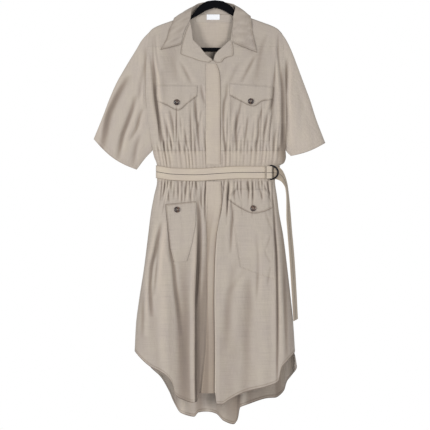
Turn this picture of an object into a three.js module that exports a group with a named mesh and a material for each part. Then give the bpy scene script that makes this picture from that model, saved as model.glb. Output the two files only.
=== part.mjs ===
import * as THREE from 'three';

// Shirt dress of crisp cotton, hung flat on a slim flocked hanger.
// Millimetres. X runs to the viewer's right, Y away from the viewer, Z up.
// The origin is the inside top of the hanger's hook, where it bears on a rail.
// Heights are written as the drop below the top of the hanger's body.
// Left and right are the viewer's, and a face of -1 is the front, +1 the back.

// Cloth and seams
const WALL = 1.5;
const SEAM = 0.3;
const HALF_SEAM = SEAM / 2;
const FRONT = -1;
const BACK = 1;

// Hanger
const HANGER_TOP = -72;
const HANGER_THICKNESS = 5;
const ARM_DROP = 4;
const HOOK_WIRE = 3.6;

// Shoulder fold over the hanger's arms
const FOLD_RADIUS = 6;
const SWELL = 55;

// Levels of the cross seams
const YOKE_SEAM = 141;
const WAIST_TOP = 453;
const WAIST_BOTTOM = 543;
const SIDE_NOTCH = 1050;

// Gathers: waves across each panel and the depth of one
const WAVES = { left: 16, right: 18, back: 34 };
const GATHER_DEPTH = 2;

// Belt
const BELT_WIDTH = 38;
const BELT_LIFT = 1.2;
const BELT_WALL = 2.2;

const COLOURS = {
  cloth: 0xbcafa0,
  placket: 0xc0b5a8,
  inside: 0xb1a79d,
  belt: 0xcbbca2,
  label: 0xf2f1ee,
  horn: 0x45352f,
  metal: 0x17161a,
  flock: 0x121014,
  steel: 0x8f9194,
};

// A short table: one row for each section, with named columns
function table(names, rows) {
  return rows.map((row) => Object.fromEntries(names.map((name, i) => [name, row[i]])));
}

// Side edges of the body and how far the edge stands from the middle plane there
const SIDES = table(['down', 'left', 'right', 'edge'], [
  [94, -195, 200, 12],
  [141, -201, 205, 13],
  [200, -206, 208, 14],
  [270, -207, 211, 15],
  [356, -201, 213, 14],
  [399, -194, 213, 11],
  [430, -190, 213, 7],
  [442, -188, 213, 4],
  [451, -187, 212, 0.15],
  [470, -183, 213, 0.15],
  [488, -176, 208, 0.15],
  [499, -174, 192, 0.15],
  [543, -174, 180, 0.15],
  [588, -183, 186, 0.15],
  [636, -192, 192, 0.15],
  [708, -201, 205, 0.15],
  [804, -213, 217, 0.15],
  [900, -228, 228, 0.15],
  [972, -237, 235, 0.15],
  [1050, -241, 240, 0.15],
]);

// Half thickness of the hanging body, front and back
const FULLNESS = table(['down', 'front', 'back'], [
  [30, 14, 13],
  [100, 16, 15],
  [200, 21, 18],
  [300, 23, 19],
  [400, 21, 18],
  [453, 18, 16],
  [500, 16, 15],
  [543, 17, 16],
  [600, 22, 20],
  [700, 29, 26],
  [850, 36, 32],
  [1050, 43, 38],
  [1280, 48, 42],
]);

// Shoulder line from the neck to the sleeve
const SHOULDER = table(['reach', 'down'], [
  [0, 15],
  [50, 30],
  [75, 41],
  [104, 53],
  [121, 59],
  [143, 67],
  [170, 77],
  [187, 86],
  [202, 101],
]);

// Front edges: the two rolls of the open neck, then the centre seam
const FRONT_EDGE = table(['down', 'left', 'right'], [
  [39, -73, 72],
  [50, -72, 57],
  [66, -75, 52.5],
  [75, -72, 52.5],
  [99, -67.5, 50],
  [120, -66, 47],
  [132, -55, 34],
  [143, -45, 22],
  [155, -36, 8],
  [166, -26, 0],
  [180, -9, -4],
  [186, -6.15, -5.85],
  [453, -6.15, -5.85],
]);

const NECK = { left: { x: -73, down: 40.1 }, right: { x: 72, down: 39.7 }, depth: 11, scoop: 2 };
const CORNER = { left: 94, right: 101 };

// Centre seam of the skirt, under the placket strip
const CENTRE = table(['down', 'x'], [
  [543, -6],
  [700, -9],
  [804, -13],
  [1050, -15],
  [1210, -20],
]);

// Hems, from the left notch to the right one
const FRONT_HEM = table(['x', 'down'], [
  [-241, 1052],
  [-214, 1078],
  [-193, 1095],
  [-151, 1118],
  [-126, 1147],
  [-118, 1179],
  [-101, 1191],
  [-65, 1202],
  [-54, 1200],
  [-44, 1173],
  [0, 1173],
  [5, 1206],
  [21, 1207],
  [38, 1197],
  [70, 1179],
  [106, 1166],
  [145, 1157],
  [170, 1149],
  [187, 1140],
  [197, 1099],
  [214, 1080],
  [240, 1054],
]);

const BACK_HEM = table(['x', 'down'], [
  [-241, 1052],
  [-214, 1080],
  [-193, 1108],
  [-166, 1133],
  [-138, 1181],
  [-126, 1210],
  [-103, 1244],
  [-63, 1256],
  [-50, 1243],
  [-23, 1240],
  [3, 1247],
  [27, 1269],
  [56, 1279],
  [69, 1264],
  [76, 1228],
  [106, 1216],
  [164, 1199],
  [183, 1198],
  [198, 1189],
  [210, 1174],
  [217, 1149],
  [227, 1132],
  [240, 1105],
]);

// Largest folds: a soft trough between two heights, with its line and its size
const FOLD_COLUMNS = ['top', 'topX', 'middleX', 'bottom', 'bottomX', 'depth', 'width'];
const FRONT_FOLDS = table(FOLD_COLUMNS, [
  [150, -196, -180, 425, -158, 6, 9],
  [330, -145, -136, 445, -126, 4, 8],
  [300, -61, -55, 450, -47, 4, 8],
  [315, 76, 62, 450, 56, 4, 8],
  [335, 139, 131, 445, 116, 4, 8],
  [230, 199, 200, 430, 189, 6, 8],
  [560, -57, -48, 880, -57, 8, 11],
  [820, -56, -60, 1300, -62, 14, 12],
  [660, -160, -193, 960, -186, 9, 12],
  [760, -136, -97, 1250, -90, 10, 16],
  [580, 168, 187, 1160, 188, 9, 10],
  [600, 45, 50, 1000, 60, 4, 14],
  [900, 110, 104, 1300, 98, 6, 18],
]);
const BACK_FOLDS = table(FOLD_COLUMNS, [
  [150, -180, -168, 440, -150, 5, 9],
  [200, -70, -62, 445, -58, 4, 9],
  [210, 60, 58, 445, 54, 4, 9],
  [160, 186, 176, 440, 160, 5, 9],
  [570, -150, -165, 1150, -170, 9, 13],
  [600, -84, -92, 1300, -96, 11, 14],
  [560, -10, -16, 1300, -20, 9, 14],
  [590, 70, 82, 1300, 90, 12, 14],
  [570, 140, 158, 1160, 172, 9, 13],
]);

// Sleeve outlines: the top fold and the lower fold from armhole to cuff
const SLEEVES = {
  left: {
    top: table(['x', 'down'], [
      [-195, 94], [-219, 120], [-237, 150], [-270, 204], [-297, 252], [-318, 300], [-336, 348], [-364, 417],
    ]),
    bottom: table(['x', 'down'], [
      [-187, 451], [-191, 456], [-196, 461], [-202, 467], [-209, 475], [-217, 485], [-226, 497], [-235, 509],
    ]),
    cuffBow: 12,
  },
  right: {
    top: table(['x', 'down'], [
      [200, 101], [213, 120], [228, 150], [249, 204], [267, 252], [285, 300], [303, 356], [331, 429],
    ]),
    bottom: table(['x', 'down'], [
      [212, 451], [214, 454], [216, 457], [218, 459], [220, 461], [222, 463], [225, 465], [227, 468],
    ]),
    cuffBow: 5,
  },
};
const CUFF_DEPTH = 17;
const BOW_OUT = 0.4;

// Heights along the armhole, measured from the shoulder corner or as a drop
const YOKE_ROWS = table(['side', 'front'], [
  [0, 0],
  [1.5, 1.5],
  [6, 6],
  [14, 24],
  [24, 48],
  [35, 76],
]);
const BODICE_ROWS = [180, 225, 275, 325, 375, 418];
const GATHER_ROWS = [440];

const clamp = (value, low, high) => Math.min(Math.max(value, low), high);
const mix = (a, b, share) => a + (b - a) * share;
const toZ = (down) => HANGER_TOP - down;

// Value of a table's column at a place, in straight lines between the rows
function at(rows, key, place, name) {
  let next = rows.findIndex((row) => row[key] >= place);
  if (next < 0) next = rows.length - 1;
  next = Math.max(next, 1);
  const a = rows[next - 1];
  const b = rows[next];
  return mix(a[name], b[name], clamp((place - a[key]) / (b[key] - a[key]), 0, 1));
}

const shoulder = (x) => at(SHOULDER, 'reach', Math.abs(x), 'down');
const sideEdge = (side, down) => at(SIDES, 'down', down, side);
const frontEdge = (side, down) => at(FRONT_EDGE, 'down', down, side);

// Depth of the neck opening's oval at a place across, as a share of its full depth
function neckRise(x) {
  const middle = (NECK.left.x + NECK.right.x) / 2;
  const half = (NECK.right.x - NECK.left.x) / 2;
  return Math.sqrt(Math.max(0, 1 - ((x - middle) / half) ** 2));
}

// Top edge of a face: the shoulder seams, and on the back the neck seam between them
function topEdge(face, x) {
  if (face === BACK && x > NECK.left.x && x < NECK.right.x) {
    return at([NECK.left, NECK.right], 'x', x, 'down') + NECK.scoop * neckRise(x);
  }
  return shoulder(x);
}

// The edges round away: a soft lens beside the armholes, a quarter ellipse from the waist down
function edgeRound(distance, down) {
  const waist = clamp((down - 380) / 70, 0, 1);
  const share = clamp(distance / mix(70, 45, waist), 0, 1);
  const lens = Math.sin((share * Math.PI) / 2);
  const ellipse = Math.sqrt(1 - (1 - share) ** 2);
  return mix(lens, ellipse, waist);
}

// Smooth depth of a face from the middle plane
function smoothDepth(face, x, down) {
  const side = x < 0 ? 'left' : 'right';
  const distance = Math.abs(sideEdge(side, down) - x);
  const full = at(FULLNESS, 'down', down, face === FRONT ? 'front' : 'back');
  const edge = at(SIDES, 'down', down, 'edge');
  const base = mix(edge, full, edgeRound(distance, down));
  const below = Math.max(0, down - topEdge(face, x));
  const ridge = FOLD_RADIUS * Math.sqrt(1 - (1 - Math.min(below / FOLD_RADIUS, 1)) ** 2);
  const neck = face === BACK ? NECK.depth * neckRise(x) : 0;
  const start = Math.max(HALF_SEAM, ridge, neck);
  return start + Math.max(base - start, 0) * (1 - Math.exp(-below / SWELL)) + Math.min(base - start, 0)
    * clamp(below / (3 * SWELL), 0, 1);
}

// Depth of the troughs that cross a place
function foldDepth(face, x, down) {
  let sum = 0;
  for (const fold of face === FRONT ? FRONT_FOLDS : BACK_FOLDS) {
    const share = (down - fold.top) / (fold.bottom - fold.top);
    if (share <= 0 || share >= 1) continue;
    const line = mix(mix(fold.topX, fold.middleX, share), mix(fold.middleX, fold.bottomX, share), share);
    sum += fold.depth * Math.sin(Math.PI * share) ** 0.6 * Math.exp(-(((x - line) / fold.width) ** 2));
  }
  const side = x < 0 ? 'left' : 'right';
  return sum * clamp(Math.abs(sideEdge(side, down) - x) / 30, 0, 1);
}

// Direction into the garment at a place on a face
function inward(face, x, down) {
  const left = sideEdge('left', down);
  const right = sideEdge('right', down);
  const closed = at(SIDES, 'down', down, 'edge') < 1;
  if (closed && x - left < 0.6) return new THREE.Vector3(1, 0, 0);
  if (closed && right - x < 0.6) return new THREE.Vector3(-1, 0, 0);
  const onShoulder = face === FRONT || x <= NECK.left.x || x >= NECK.right.x;
  if (onShoulder && down - topEdge(face, x) < 0.3) return new THREE.Vector3(0, 0, -1);
  const step = 1.5;
  const x0 = Math.max(x - step, left);
  const x1 = Math.min(x + step, right);
  const down0 = Math.max(down - step, topEdge(face, x));
  const down1 = down + step;
  const slopeX = (smoothDepth(face, x1, down) - smoothDepth(face, x0, down)) / (x1 - x0);
  const slopeZ = (smoothDepth(face, x, down0) - smoothDepth(face, x, down1)) / (down1 - down0);
  return new THREE.Vector3(slopeX, -face, slopeZ).normalize();
}

// Pair of wall points on a face: sink pushes both in, lift is how far the inner one stands off the cloth,
// and folds is the share of the troughs that it follows
function facePoint(face, x, down, { sink = 0, folds = 1, thickness = WALL, lift = -thickness } = {}) {
  const depth = Math.max(smoothDepth(face, x, down) - folds * foldDepth(face, x, down) - sink, HALF_SEAM);
  const place = new THREE.Vector3(x, face * depth, toZ(down));
  const direction = inward(face, x, down);
  const outer = place.clone().addScaledVector(direction, -lift - thickness);
  const inner = place.clone().addScaledVector(direction, -lift);
  inner.y = face * Math.max(face * inner.y, HALF_SEAM);
  return { outer, inner };
}

// Triangles between two rows, taking the next point of whichever row is behind
function stitch(upper, lower, upperShare, lowerShare, triangles) {
  let i = 0;
  let j = 0;
  while (i < upper.length - 1 || j < lower.length - 1) {
    const takeUpper = j === lower.length - 1
      || (i < upper.length - 1 && upperShare[i + 1] <= lowerShare[j + 1]);
    if (takeUpper) {
      triangles.push([upper[i], lower[j], upper[i + 1]]);
      i += 1;
    } else {
      triangles.push([upper[i], lower[j], lower[j + 1]]);
      j += 1;
    }
  }
}

// Solid from points and triangles, turned so that its faces point out
function solid(points, triangles) {
  let volume = 0;
  for (const [a, b, c] of triangles) {
    volume += points[a].dot(new THREE.Vector3().crossVectors(points[b], points[c]));
  }
  const faces = volume < 0 ? triangles.map(([a, b, c]) => [a, c, b]) : triangles;
  const geometry = new THREE.BufferGeometry();
  geometry.setAttribute('position', new THREE.Float32BufferAttribute(points.flatMap((p) => p.toArray()), 3));
  geometry.setIndex(faces.flat());
  geometry.computeVertexNormals();
  return geometry;
}

// Wall of cloth through rows of paired points, each row with its own number of columns
function clothWall(rows) {
  const points = [];
  const add = (point) => points.push(point) - 1;
  const outer = rows.map((row) => row.map((pair) => add(pair.outer)));
  const inner = rows.map((row) => row.map((pair) => add(pair.inner)));
  const shares = rows.map((row) => row.map((pair, i) => pair.share ?? i / (row.length - 1)));
  const triangles = [];
  const inside = [];
  const last = rows.length - 1;
  for (let k = 0; k < last; k += 1) {
    stitch(outer[k], outer[k + 1], shares[k], shares[k + 1], triangles);
    stitch(inner[k], inner[k + 1], shares[k], shares[k + 1], inside);
    const a = outer[k];
    const b = outer[k + 1];
    const c = inner[k];
    const d = inner[k + 1];
    triangles.push([b[0], a[0], c[0]], [b[0], c[0], d[0]]);
    triangles.push([a.at(-1), b.at(-1), c.at(-1)], [b.at(-1), d.at(-1), c.at(-1)]);
  }
  stitch(inner[0], outer[0], shares[0], shares[0], triangles);
  stitch(outer[last], inner[last], shares[last], shares[last], triangles);
  return solid(points, triangles.concat(inside.map(([a, b, c]) => [a, c, b])));
}

// Tube of cloth through closed rings of paired points, open at both ends
function clothTube(rings) {
  const count = rings[0].length;
  const points = [];
  for (const ring of rings) for (const pair of ring) points.push(pair.outer, pair.inner);
  const outer = (k, i) => 2 * (k * count + (i % count));
  const inner = (k, i) => outer(k, i) + 1;
  const last = rings.length - 1;
  const triangles = [];
  const quad = (a, b, c, d) => triangles.push([a, c, b], [b, c, d]);
  for (let i = 0; i < count; i += 1) {
    for (let k = 0; k < last; k += 1) {
      quad(outer(k, i), outer(k, i + 1), outer(k + 1, i), outer(k + 1, i + 1));
      quad(inner(k, i + 1), inner(k, i), inner(k + 1, i + 1), inner(k + 1, i));
    }
    quad(inner(0, i), inner(0, i + 1), outer(0, i), outer(0, i + 1));
    quad(outer(last, i), outer(last, i + 1), inner(last, i), inner(last, i + 1));
  }
  return solid(points, triangles);
}

// Wire bent into a closed loop in an upright plane
function wireLoop(path, y, radius, sides = 8) {
  const points = [];
  const count = path.length;
  path.forEach((place, k) => {
    const before = path[(k + count - 1) % count];
    const after = path[(k + 1) % count];
    const along = new THREE.Vector2(after.x - before.x, after.z - before.z).normalize();
    for (let i = 0; i < sides; i += 1) {
      const angle = (i / sides) * 2 * Math.PI;
      const out = radius * Math.cos(angle);
      const across = y + radius * Math.sin(angle);
      points.push(new THREE.Vector3(place.x + along.y * out, across, place.z - along.x * out));
    }
  });
  const rim = (k, i) => (k % count) * sides + (i % sides);
  const triangles = [];
  for (let k = 0; k < count; k += 1) {
    for (let i = 0; i < sides; i += 1) {
      triangles.push([rim(k, i), rim(k + 1, i), rim(k, i + 1)]);
      triangles.push([rim(k, i + 1), rim(k + 1, i), rim(k + 1, i + 1)]);
    }
  }
  return solid(points, triangles);
}

const group = new THREE.Group();

function addMesh(name, geometry, color, roughness = 0.85, metalness = 0) {
  const mesh = new THREE.Mesh(geometry, new THREE.MeshStandardMaterial({ color, roughness, metalness }));
  mesh.name = name;
  group.add(mesh);
}

// Row of a face between two ends, each with its place across and its drop
function faceRow(face, from, to, columns, options = {}) {
  const row = [];
  for (let i = 0; i <= columns; i += 1) {
    const share = i / columns;
    const eased = options.ease ? options.ease(share) : share;
    const x = mix(from.x, to.x, eased);
    let down = mix(from.down, to.down, eased);
    if (options.followTop) down += (topEdge(face, x) - mix(topEdge(face, from.x), topEdge(face, to.x), eased))
      * options.followTop;
    row.push({ ...facePoint(face, x, down, options), share: eased });
  }
  return row;
}

// Gathered row: peaks and valleys in turn, a little uneven in place and depth
function gatherRow(face, from, to, waves, strength) {
  const row = [];
  for (let k = 0; k <= 2 * waves; k += 1) {
    const ends = Math.sin((Math.PI * k) / (2 * waves));
    const share = (k + 0.28 * ends * Math.sin(2.4 * k)) / (2 * waves);
    const depth = k % 2 ? GATHER_DEPTH * (0.8 + 0.2 * Math.sin(1.7 * k)) : 0;
    const x = mix(from.x, to.x, share);
    const down = mix(from.down, to.down, share);
    row.push({ ...facePoint(face, x, down, { sink: depth * strength }), share });
  }
  return row;
}

// Columns stand closer together towards a closed edge at the row's start or at both ends
const easeStart = (share) => mix(share, 1 - Math.cos((share * Math.PI) / 2), 0.5);
const easeEnd = (share) => 1 - easeStart(1 - share);
const easeBoth = (share) => mix(share, (1 - Math.cos(share * Math.PI)) / 2, 0.5);

// Ends of a half front's row, in order from left to right
function halfEnds(side, sideDown, frontDown, frontX = frontEdge(side, frontDown)) {
  const ends = [{ x: sideEdge(side, sideDown), down: sideDown }, { x: frontX, down: frontDown }];
  return side === 'left' ? ends : ends.reverse();
}

// Front yoke: from the shoulder seam down to the yoke seam
function frontYoke(side) {
  const top = CORNER[side];
  const neck = NECK[side];
  const rows = YOKE_ROWS.map((row) => {
    const sideDown = top + row.side;
    const frontDown = neck.down + row.front;
    const ends = halfEnds(side, sideDown, frontDown);
    return faceRow(FRONT, ...ends, 12, { followTop: (1 - row.side / (YOKE_SEAM - top)) ** 0.5 });
  });
  rows.push(faceRow(FRONT, ...halfEnds(side, YOKE_SEAM, YOKE_SEAM), 12));
  return clothWall(rows);
}

// Bodice front: from the yoke seam down to the gathered waist
function bodiceFront(side) {
  const ends = (down) => halfEnds(side, down, down);
  const rows = [YOKE_SEAM + SEAM, ...BODICE_ROWS].map((down) => faceRow(FRONT, ...ends(down), 15));
  GATHER_ROWS.forEach((down, i) => rows.push(gatherRow(FRONT, ...ends(down), WAVES[side], 0.55 + 0.2 * i)));
  rows.push(gatherRow(FRONT, ...ends(WAIST_TOP - SEAM), WAVES[side], 1));
  return clothWall(rows);
}

// Bodice back: one panel from the shoulder and neck seams down to the gathered waist
function bodiceBack() {
  const heights = [0, 1.5, 6, 14, 27, 47];
  const rows = heights.map((below) => {
    const from = { x: sideEdge('left', CORNER.left + below), down: CORNER.left + below };
    const to = { x: sideEdge('right', CORNER.right + below), down: CORNER.right + below };
    const follow = { followTop: 1 - 0.9 * (below / 47) ** 2 };
    return faceRow(BACK, from, to, 24, follow);
  });
  const ends = (down) => [{ x: sideEdge('left', down), down }, { x: sideEdge('right', down), down }];
  for (const down of BODICE_ROWS) rows.push(faceRow(BACK, ...ends(down), 22));
  GATHER_ROWS.forEach((down, i) => rows.push(gatherRow(BACK, ...ends(down), WAVES.back, 0.55 + 0.2 * i)));
  rows.push(gatherRow(BACK, ...ends(WAIST_TOP - SEAM), WAVES.back, 1));
  return clothWall(rows);
}

// Waistband panels
function waistband(face, side) {
  const levels = [WAIST_TOP + SEAM, 486, 499, WAIST_BOTTOM - SEAM];
  return clothWall(levels.map((down) => {
    const ends = side === 'back'
      ? [{ x: sideEdge('left', down), down }, { x: sideEdge('right', down), down }]
      : halfEnds(side, down, down, frontEdge(side, WAIST_TOP));
    return gatherRow(face, ...ends, WAVES[side], 1);
  }));
}

// Skirt panels: rows run level at the waist and follow the hem at the bottom
const SKIRT_LEVELS = [0.12, 0.25, 0.38, 0.51, 0.64, 0.77, 0.89, 1];

function skirtPanel(face, side) {
  const hem = face === FRONT ? FRONT_HEM : BACK_HEM;
  const waves = WAVES[side];
  const startOf = (down) => {
    if (side === 'right') return at(CENTRE, 'down', down, 'x') + HALF_SEAM;
    return sideEdge('left', down);
  };
  const endOf = (down) => {
    if (side === 'left') return at(CENTRE, 'down', down, 'x') - HALF_SEAM;
    return sideEdge('right', down);
  };
  const ends = (down) => [{ x: startOf(down), down }, { x: endOf(down), down }];
  const rows = [
    gatherRow(face, ...ends(WAIST_BOTTOM + SEAM), waves, 1),
    gatherRow(face, ...ends(WAIST_BOTTOM + 22), waves, 0.6),
  ];
  const ease = { left: easeStart, right: easeEnd, back: easeBoth }[side];
  const columns = { left: 22, right: 24, back: 38 }[side];
  const start = WAIST_BOTTOM + 22;
  for (const level of SKIRT_LEVELS) {
    const row = [];
    for (let i = 0; i <= columns; i += 1) {
      const share = ease(i / columns);
      const sideDown = mix(start, SIDE_NOTCH, level);
      const hemX = mix(startOf(SIDE_NOTCH), endOf(SIDE_NOTCH), share);
      const drop = at(hem, 'x', hemX, 'down');
      const down = mix(start, drop, level);
      const x = mix(startOf(sideDown), endOf(sideDown), share);
      row.push({ ...facePoint(face, x, down), share });
    }
    rows.push(row);
  }
  return clothWall(rows);
}

// Sleeve: closed rings fan out from the armhole to the open cuff
function sleeve(side) {
  const { top, bottom, cuffBow } = SLEEVES[side];
  const outward = side === 'left' ? -1 : 1;
  const corner = CORNER[side];
  const underarm = bottom[0].down;
  const drops = [
    ...YOKE_ROWS.map((row) => corner + row.side), YOKE_SEAM, ...BODICE_ROWS, ...GATHER_ROWS, underarm,
  ];
  const last = top.length - 1;
  const rings = top.map((place, k) => {
    const share = k / last;
    const low = bottom[k];
    const cloth = (down, face) => {
      const along = (down - corner) / (underarm - corner);
      const armhole = facePoint(face, sideEdge(side, down), down).outer;
      armhole.x += outward * SEAM;
      const bow = cuffBow * Math.sin(Math.PI * along) * share;
      const line = { x: mix(place.x, low.x, along), down: mix(place.down, low.down, along) };
      const x = line.x + outward * bow * BOW_OUT;
      const drop = line.down + bow;
      const free = new THREE.Vector3(x, face * CUFF_DEPTH * Math.sin(Math.PI * along) ** 0.6, toZ(drop));
      const straight = new THREE.Vector3(line.x, 0, toZ(line.down));
      const bend = armhole.clone().sub(new THREE.Vector3(mix(top[0].x, bottom[0].x, along), 0, toZ(down)));
      return free.lerp(straight.add(bend), (1 - share) ** 1.5);
    };
    const front = drops.slice(0, -1).map((down) => cloth(down, FRONT));
    const back = drops.slice(1).reverse().map((down) => cloth(down, BACK));
    front[0].y = 0;
    back[0].y = 0;
    const ring = [...front, ...back];
    const across = ring[0].clone().sub(back[0]).normalize();
    return ring.map((point, i) => {
      const before = ring[(i + ring.length - 1) % ring.length];
      const after = ring[(i + 1) % ring.length];
      const run = after.clone().sub(before);
      const direction = new THREE.Vector3(0, run.dot(across), 0).addScaledVector(across, -run.y).normalize();
      const inner = point.clone().addScaledVector(direction, -WALL);
      if (i > 0 && i !== front.length) inner.y = Math.sign(point.y) * Math.max(Math.abs(inner.y), HALF_SEAM);
      return { outer: point, inner };
    });
  });
  return clothTube(rings);
}

// Piece laid on a face between pairs of ends, with extra rows between the pairs
function laid(face, pairs, columns, between, options) {
  const rows = [];
  pairs.forEach((pair, k) => {
    const steps = k < pairs.length - 1 ? between + 1 : 1;
    for (let i = 0; i < steps; i += 1) {
      const next = pairs[Math.min(k + 1, pairs.length - 1)];
      const share = i / steps;
      const from = { x: mix(pair.x0, next.x0, share), down: mix(pair.down0, next.down0, share) };
      const to = { x: mix(pair.x1, next.x1, share), down: mix(pair.down1, next.down1, share) };
      rows.push(faceRow(face, from, to, columns, { folds: 0, ...options }));
    }
  });
  return clothWall(rows);
}

const PAIR = ['x0', 'down0', 'x1', 'down1'];

const LAPEL_LIFT = 0.6;

// Lapels, from the top of each roll to the foot of the neck opening
const LAPELS = {
  left: table(PAIR, [
    [-74.5, 71, -76.5, 74],
    [-71, 85, -86, 93],
    [-68, 108, -94, 118],
    [-66, 121, -99, 136],
    [-51, 137, -102, 152],
    [-42, 147, -102.5, 163],
    [-32, 160, -88, 170],
    [-23, 170, -67, 177],
    [-13, 178, -45, 185],
    [-9, 184, -18, 190],
  ]),
  right: table(PAIR, [
    [46, 122, 51, 127],
    [38, 129, 53, 141],
    [27, 139, 54.5, 156],
    [14, 151, 53, 169],
    [4, 161, 39, 173],
    [0, 168, 27, 179],
    [-3, 178, 18, 189],
    [-4, 185, 4, 191],
  ]),
};

// Flaps, in columns from top edge to pointed lower edge
const FLAPS = {
  chest_flap_left: table(PAIR, [
    [-175.5, 258, -175.5, 304],
    [-145, 257, -144, 318],
    [-114, 257, -111, 333],
    [-84, 258, -83, 312],
    [-54, 258, -55.5, 291],
  ]),
  chest_flap_right: table(PAIR, [
    [44, 251, 44, 288],
    [75, 254, 73, 304],
    [110, 257, 113, 321],
    [144, 260, 142, 305],
    [174, 262, 171, 301],
  ]),
  hip_flap_right: table(PAIR, [
    [66, 566, 37, 596],
    [82, 566, 65, 618],
    [108, 566, 114, 640],
    [132, 566, 145, 635],
    [151, 566, 172, 623],
  ]),
};

const POCKETS = {
  chest_pocket_left: table(PAIR, [
    [-172, 262, -57, 262], [-171, 340, -57, 340], [-168, 424, -58, 424],
  ]),
  chest_pocket_right: table(PAIR, [
    [46, 262, 170, 268], [46, 340, 167, 340], [45, 424, 162, 424],
  ]),
  hip_pocket_left: table(PAIR, [
    [-148, 613, -57, 604], [-141, 690, -60, 678], [-134, 744, -70, 732], [-123, 786, -84, 782],
  ]),
  hip_pocket_right: table(PAIR, [
    [48, 600, 170, 600], [58, 690, 174, 690], [75, 801, 177, 838],
  ]),
};

const PLACKET_LIFT = 0.5;
const PLACKETS = {
  placket_bodice: table(PAIR, [
    [-27, 194, 4, 194], [-27, 216, 12, 216], [-27, 244, 15, 244], [-27, 350, 16.5, 350],
    [-28, 453, 16.5, 453], [-28, 494, 17, 494],
  ]),
  placket_skirt: table(PAIR, [
    [-28, 545, 18, 545], [-27, 605, 21, 605], [-26, 674, 9, 674], [-24, 719, 3, 719],
    [-24, 804, -1.5, 804], [-24, 900, -3, 900], [-30, 1050, -1, 1050], [-43, 1174, -2, 1174],
  ]),
};

const POCKET_LIFT = 0.8;
const FLAP_LIFT = POCKET_LIFT + WALL + 0.8;

// Four-hole buttons: a dished disc with a raised rim
const BUTTON = { radius: 9, thickness: 3.2, shank: 0.4 };
const BUTTONS = table(['name', 'x', 'down', 'lift'], [
  ['button_chest_left', -114, 309, FLAP_LIFT],
  ['button_chest_right', 107, 306, FLAP_LIFT],
  ['button_hip_left', -113, 629, POCKET_LIFT],
  ['button_hip_right', 114, 625, FLAP_LIFT],
]);

function button({ x, down, lift }) {
  const { radius, thickness, shank } = BUTTON;
  const profile = [
    [0, 0],
    [0.9 * radius, 0],
    [radius, 0.35 * thickness],
    [0.93 * radius, 0.85 * thickness],
    [0.8 * radius, thickness],
    [0.62 * radius, 0.72 * thickness],
    [0, 0.66 * thickness],
  ].map(([r, h]) => new THREE.Vector2(r, h));
  const geometry = new THREE.LatheGeometry(profile, 14);
  geometry.rotateX(Math.PI);
  let front = Infinity;
  for (const [dx, dz] of [[0, 0], [1, 0], [-1, 0], [0, 1], [0, -1]]) {
    const place = facePoint(FRONT, x + dx * radius, down + dz * radius, { lift, folds: 0 });
    front = Math.min(front, place.outer.y);
  }
  geometry.translate(x, front - shank, toZ(down));
  return geometry;
}

// Collar stations round the neck: where it rolls, where its edge lies, and which way its face looks
const COLLAR_COLUMNS = ['rollX', 'rollY', 'rollDown', 'edgeX', 'edgeY', 'edgeDown', 'faceX', 'faceY', 'faceZ'];
const COLLAR = table(COLLAR_COLUMNS, [
  [-103, 'front', 136, -163, 'front', 151, 0, -1, 0],
  [-98, 'front', 114, -154, 'front', 136, 0, -1, 0],
  [-93, 'front', 96, -143, 'front', 114, 0, -1, 0],
  [-78, 'front', 66, -136, 'front', 88, 0, -1, 0],
  [-73, 'front', 48, -128, -10, 72, -0.2, -0.9, 0.4],
  [-70, -6, 30, -122, -3, 55, -0.4, -0.3, 0.9],
  [-62, 3, 18, -118, 6, 54, -0.4, 0.4, 0.8],
  [-46, 9, 8, -100, 'back', 66, -0.2, 0.9, 0.4],
  [-24, 12, 4, -54, 'back', 68, 0, 1, 0.1],
  [0, 13, 3, 0, 'back', 68, 0, 1, 0.1],
  [22, 12, 4, 52, 'back', 68, 0, 1, 0.1],
  [42, 9, 8, 94, 'back', 64, 0.2, 0.9, 0.4],
  [58, 3, 14, 104, 6, 48, 0.4, 0.4, 0.8],
  [61, -7, 25, 106, -3, 48, 0.4, -0.3, 0.9],
  [55, 'front', 50, 108, -10, 64, 0.2, -0.9, 0.4],
  [54, 'front', 74, 110, 'front', 84, 0, -1, 0],
  [52, 'front', 92, 113, 'front', 104, 0, -1, 0],
  [53, 'front', 112, 119, 'front', 131, 0, -1, 0],
  [57, 'front', 132, 125, 'front', 160, 0, -1, 0],
]);
const COLLAR_LIFT = 1.6;
const COLLAR_BULGE = 2.5;
const STAND_GAP = 2.2;
const STAND_DROP = 2;

function collarPoint(x, y, down) {
  if (y === 'front') return facePoint(FRONT, x, down, { lift: COLLAR_LIFT, folds: 0 }).inner;
  if (y === 'back') return facePoint(BACK, x, down, { lift: COLLAR_LIFT, folds: 0 }).inner;
  return new THREE.Vector3(x, y, toZ(down));
}

// Collar fall: from the roll to the outer edge at each station
function collar() {
  const rows = [0, 0.25, 0.5, 0.75, 1].map((share) => COLLAR.map((station) => {
    const roll = collarPoint(station.rollX, station.rollY, station.rollDown);
    const edge = collarPoint(station.edgeX, station.edgeY, station.edgeDown);
    const face = new THREE.Vector3(station.faceX, station.faceY, station.faceZ).normalize();
    const bulge = COLLAR_BULGE * Math.sin(Math.PI * share);
    const place = roll.clone().lerp(edge, share).addScaledVector(face, bulge);
    return {
      outer: place.clone().addScaledVector(face, WALL / 2),
      inner: place.clone().addScaledVector(face, -WALL / 2),
    };
  }));
  return clothWall(rows);
}

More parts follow.
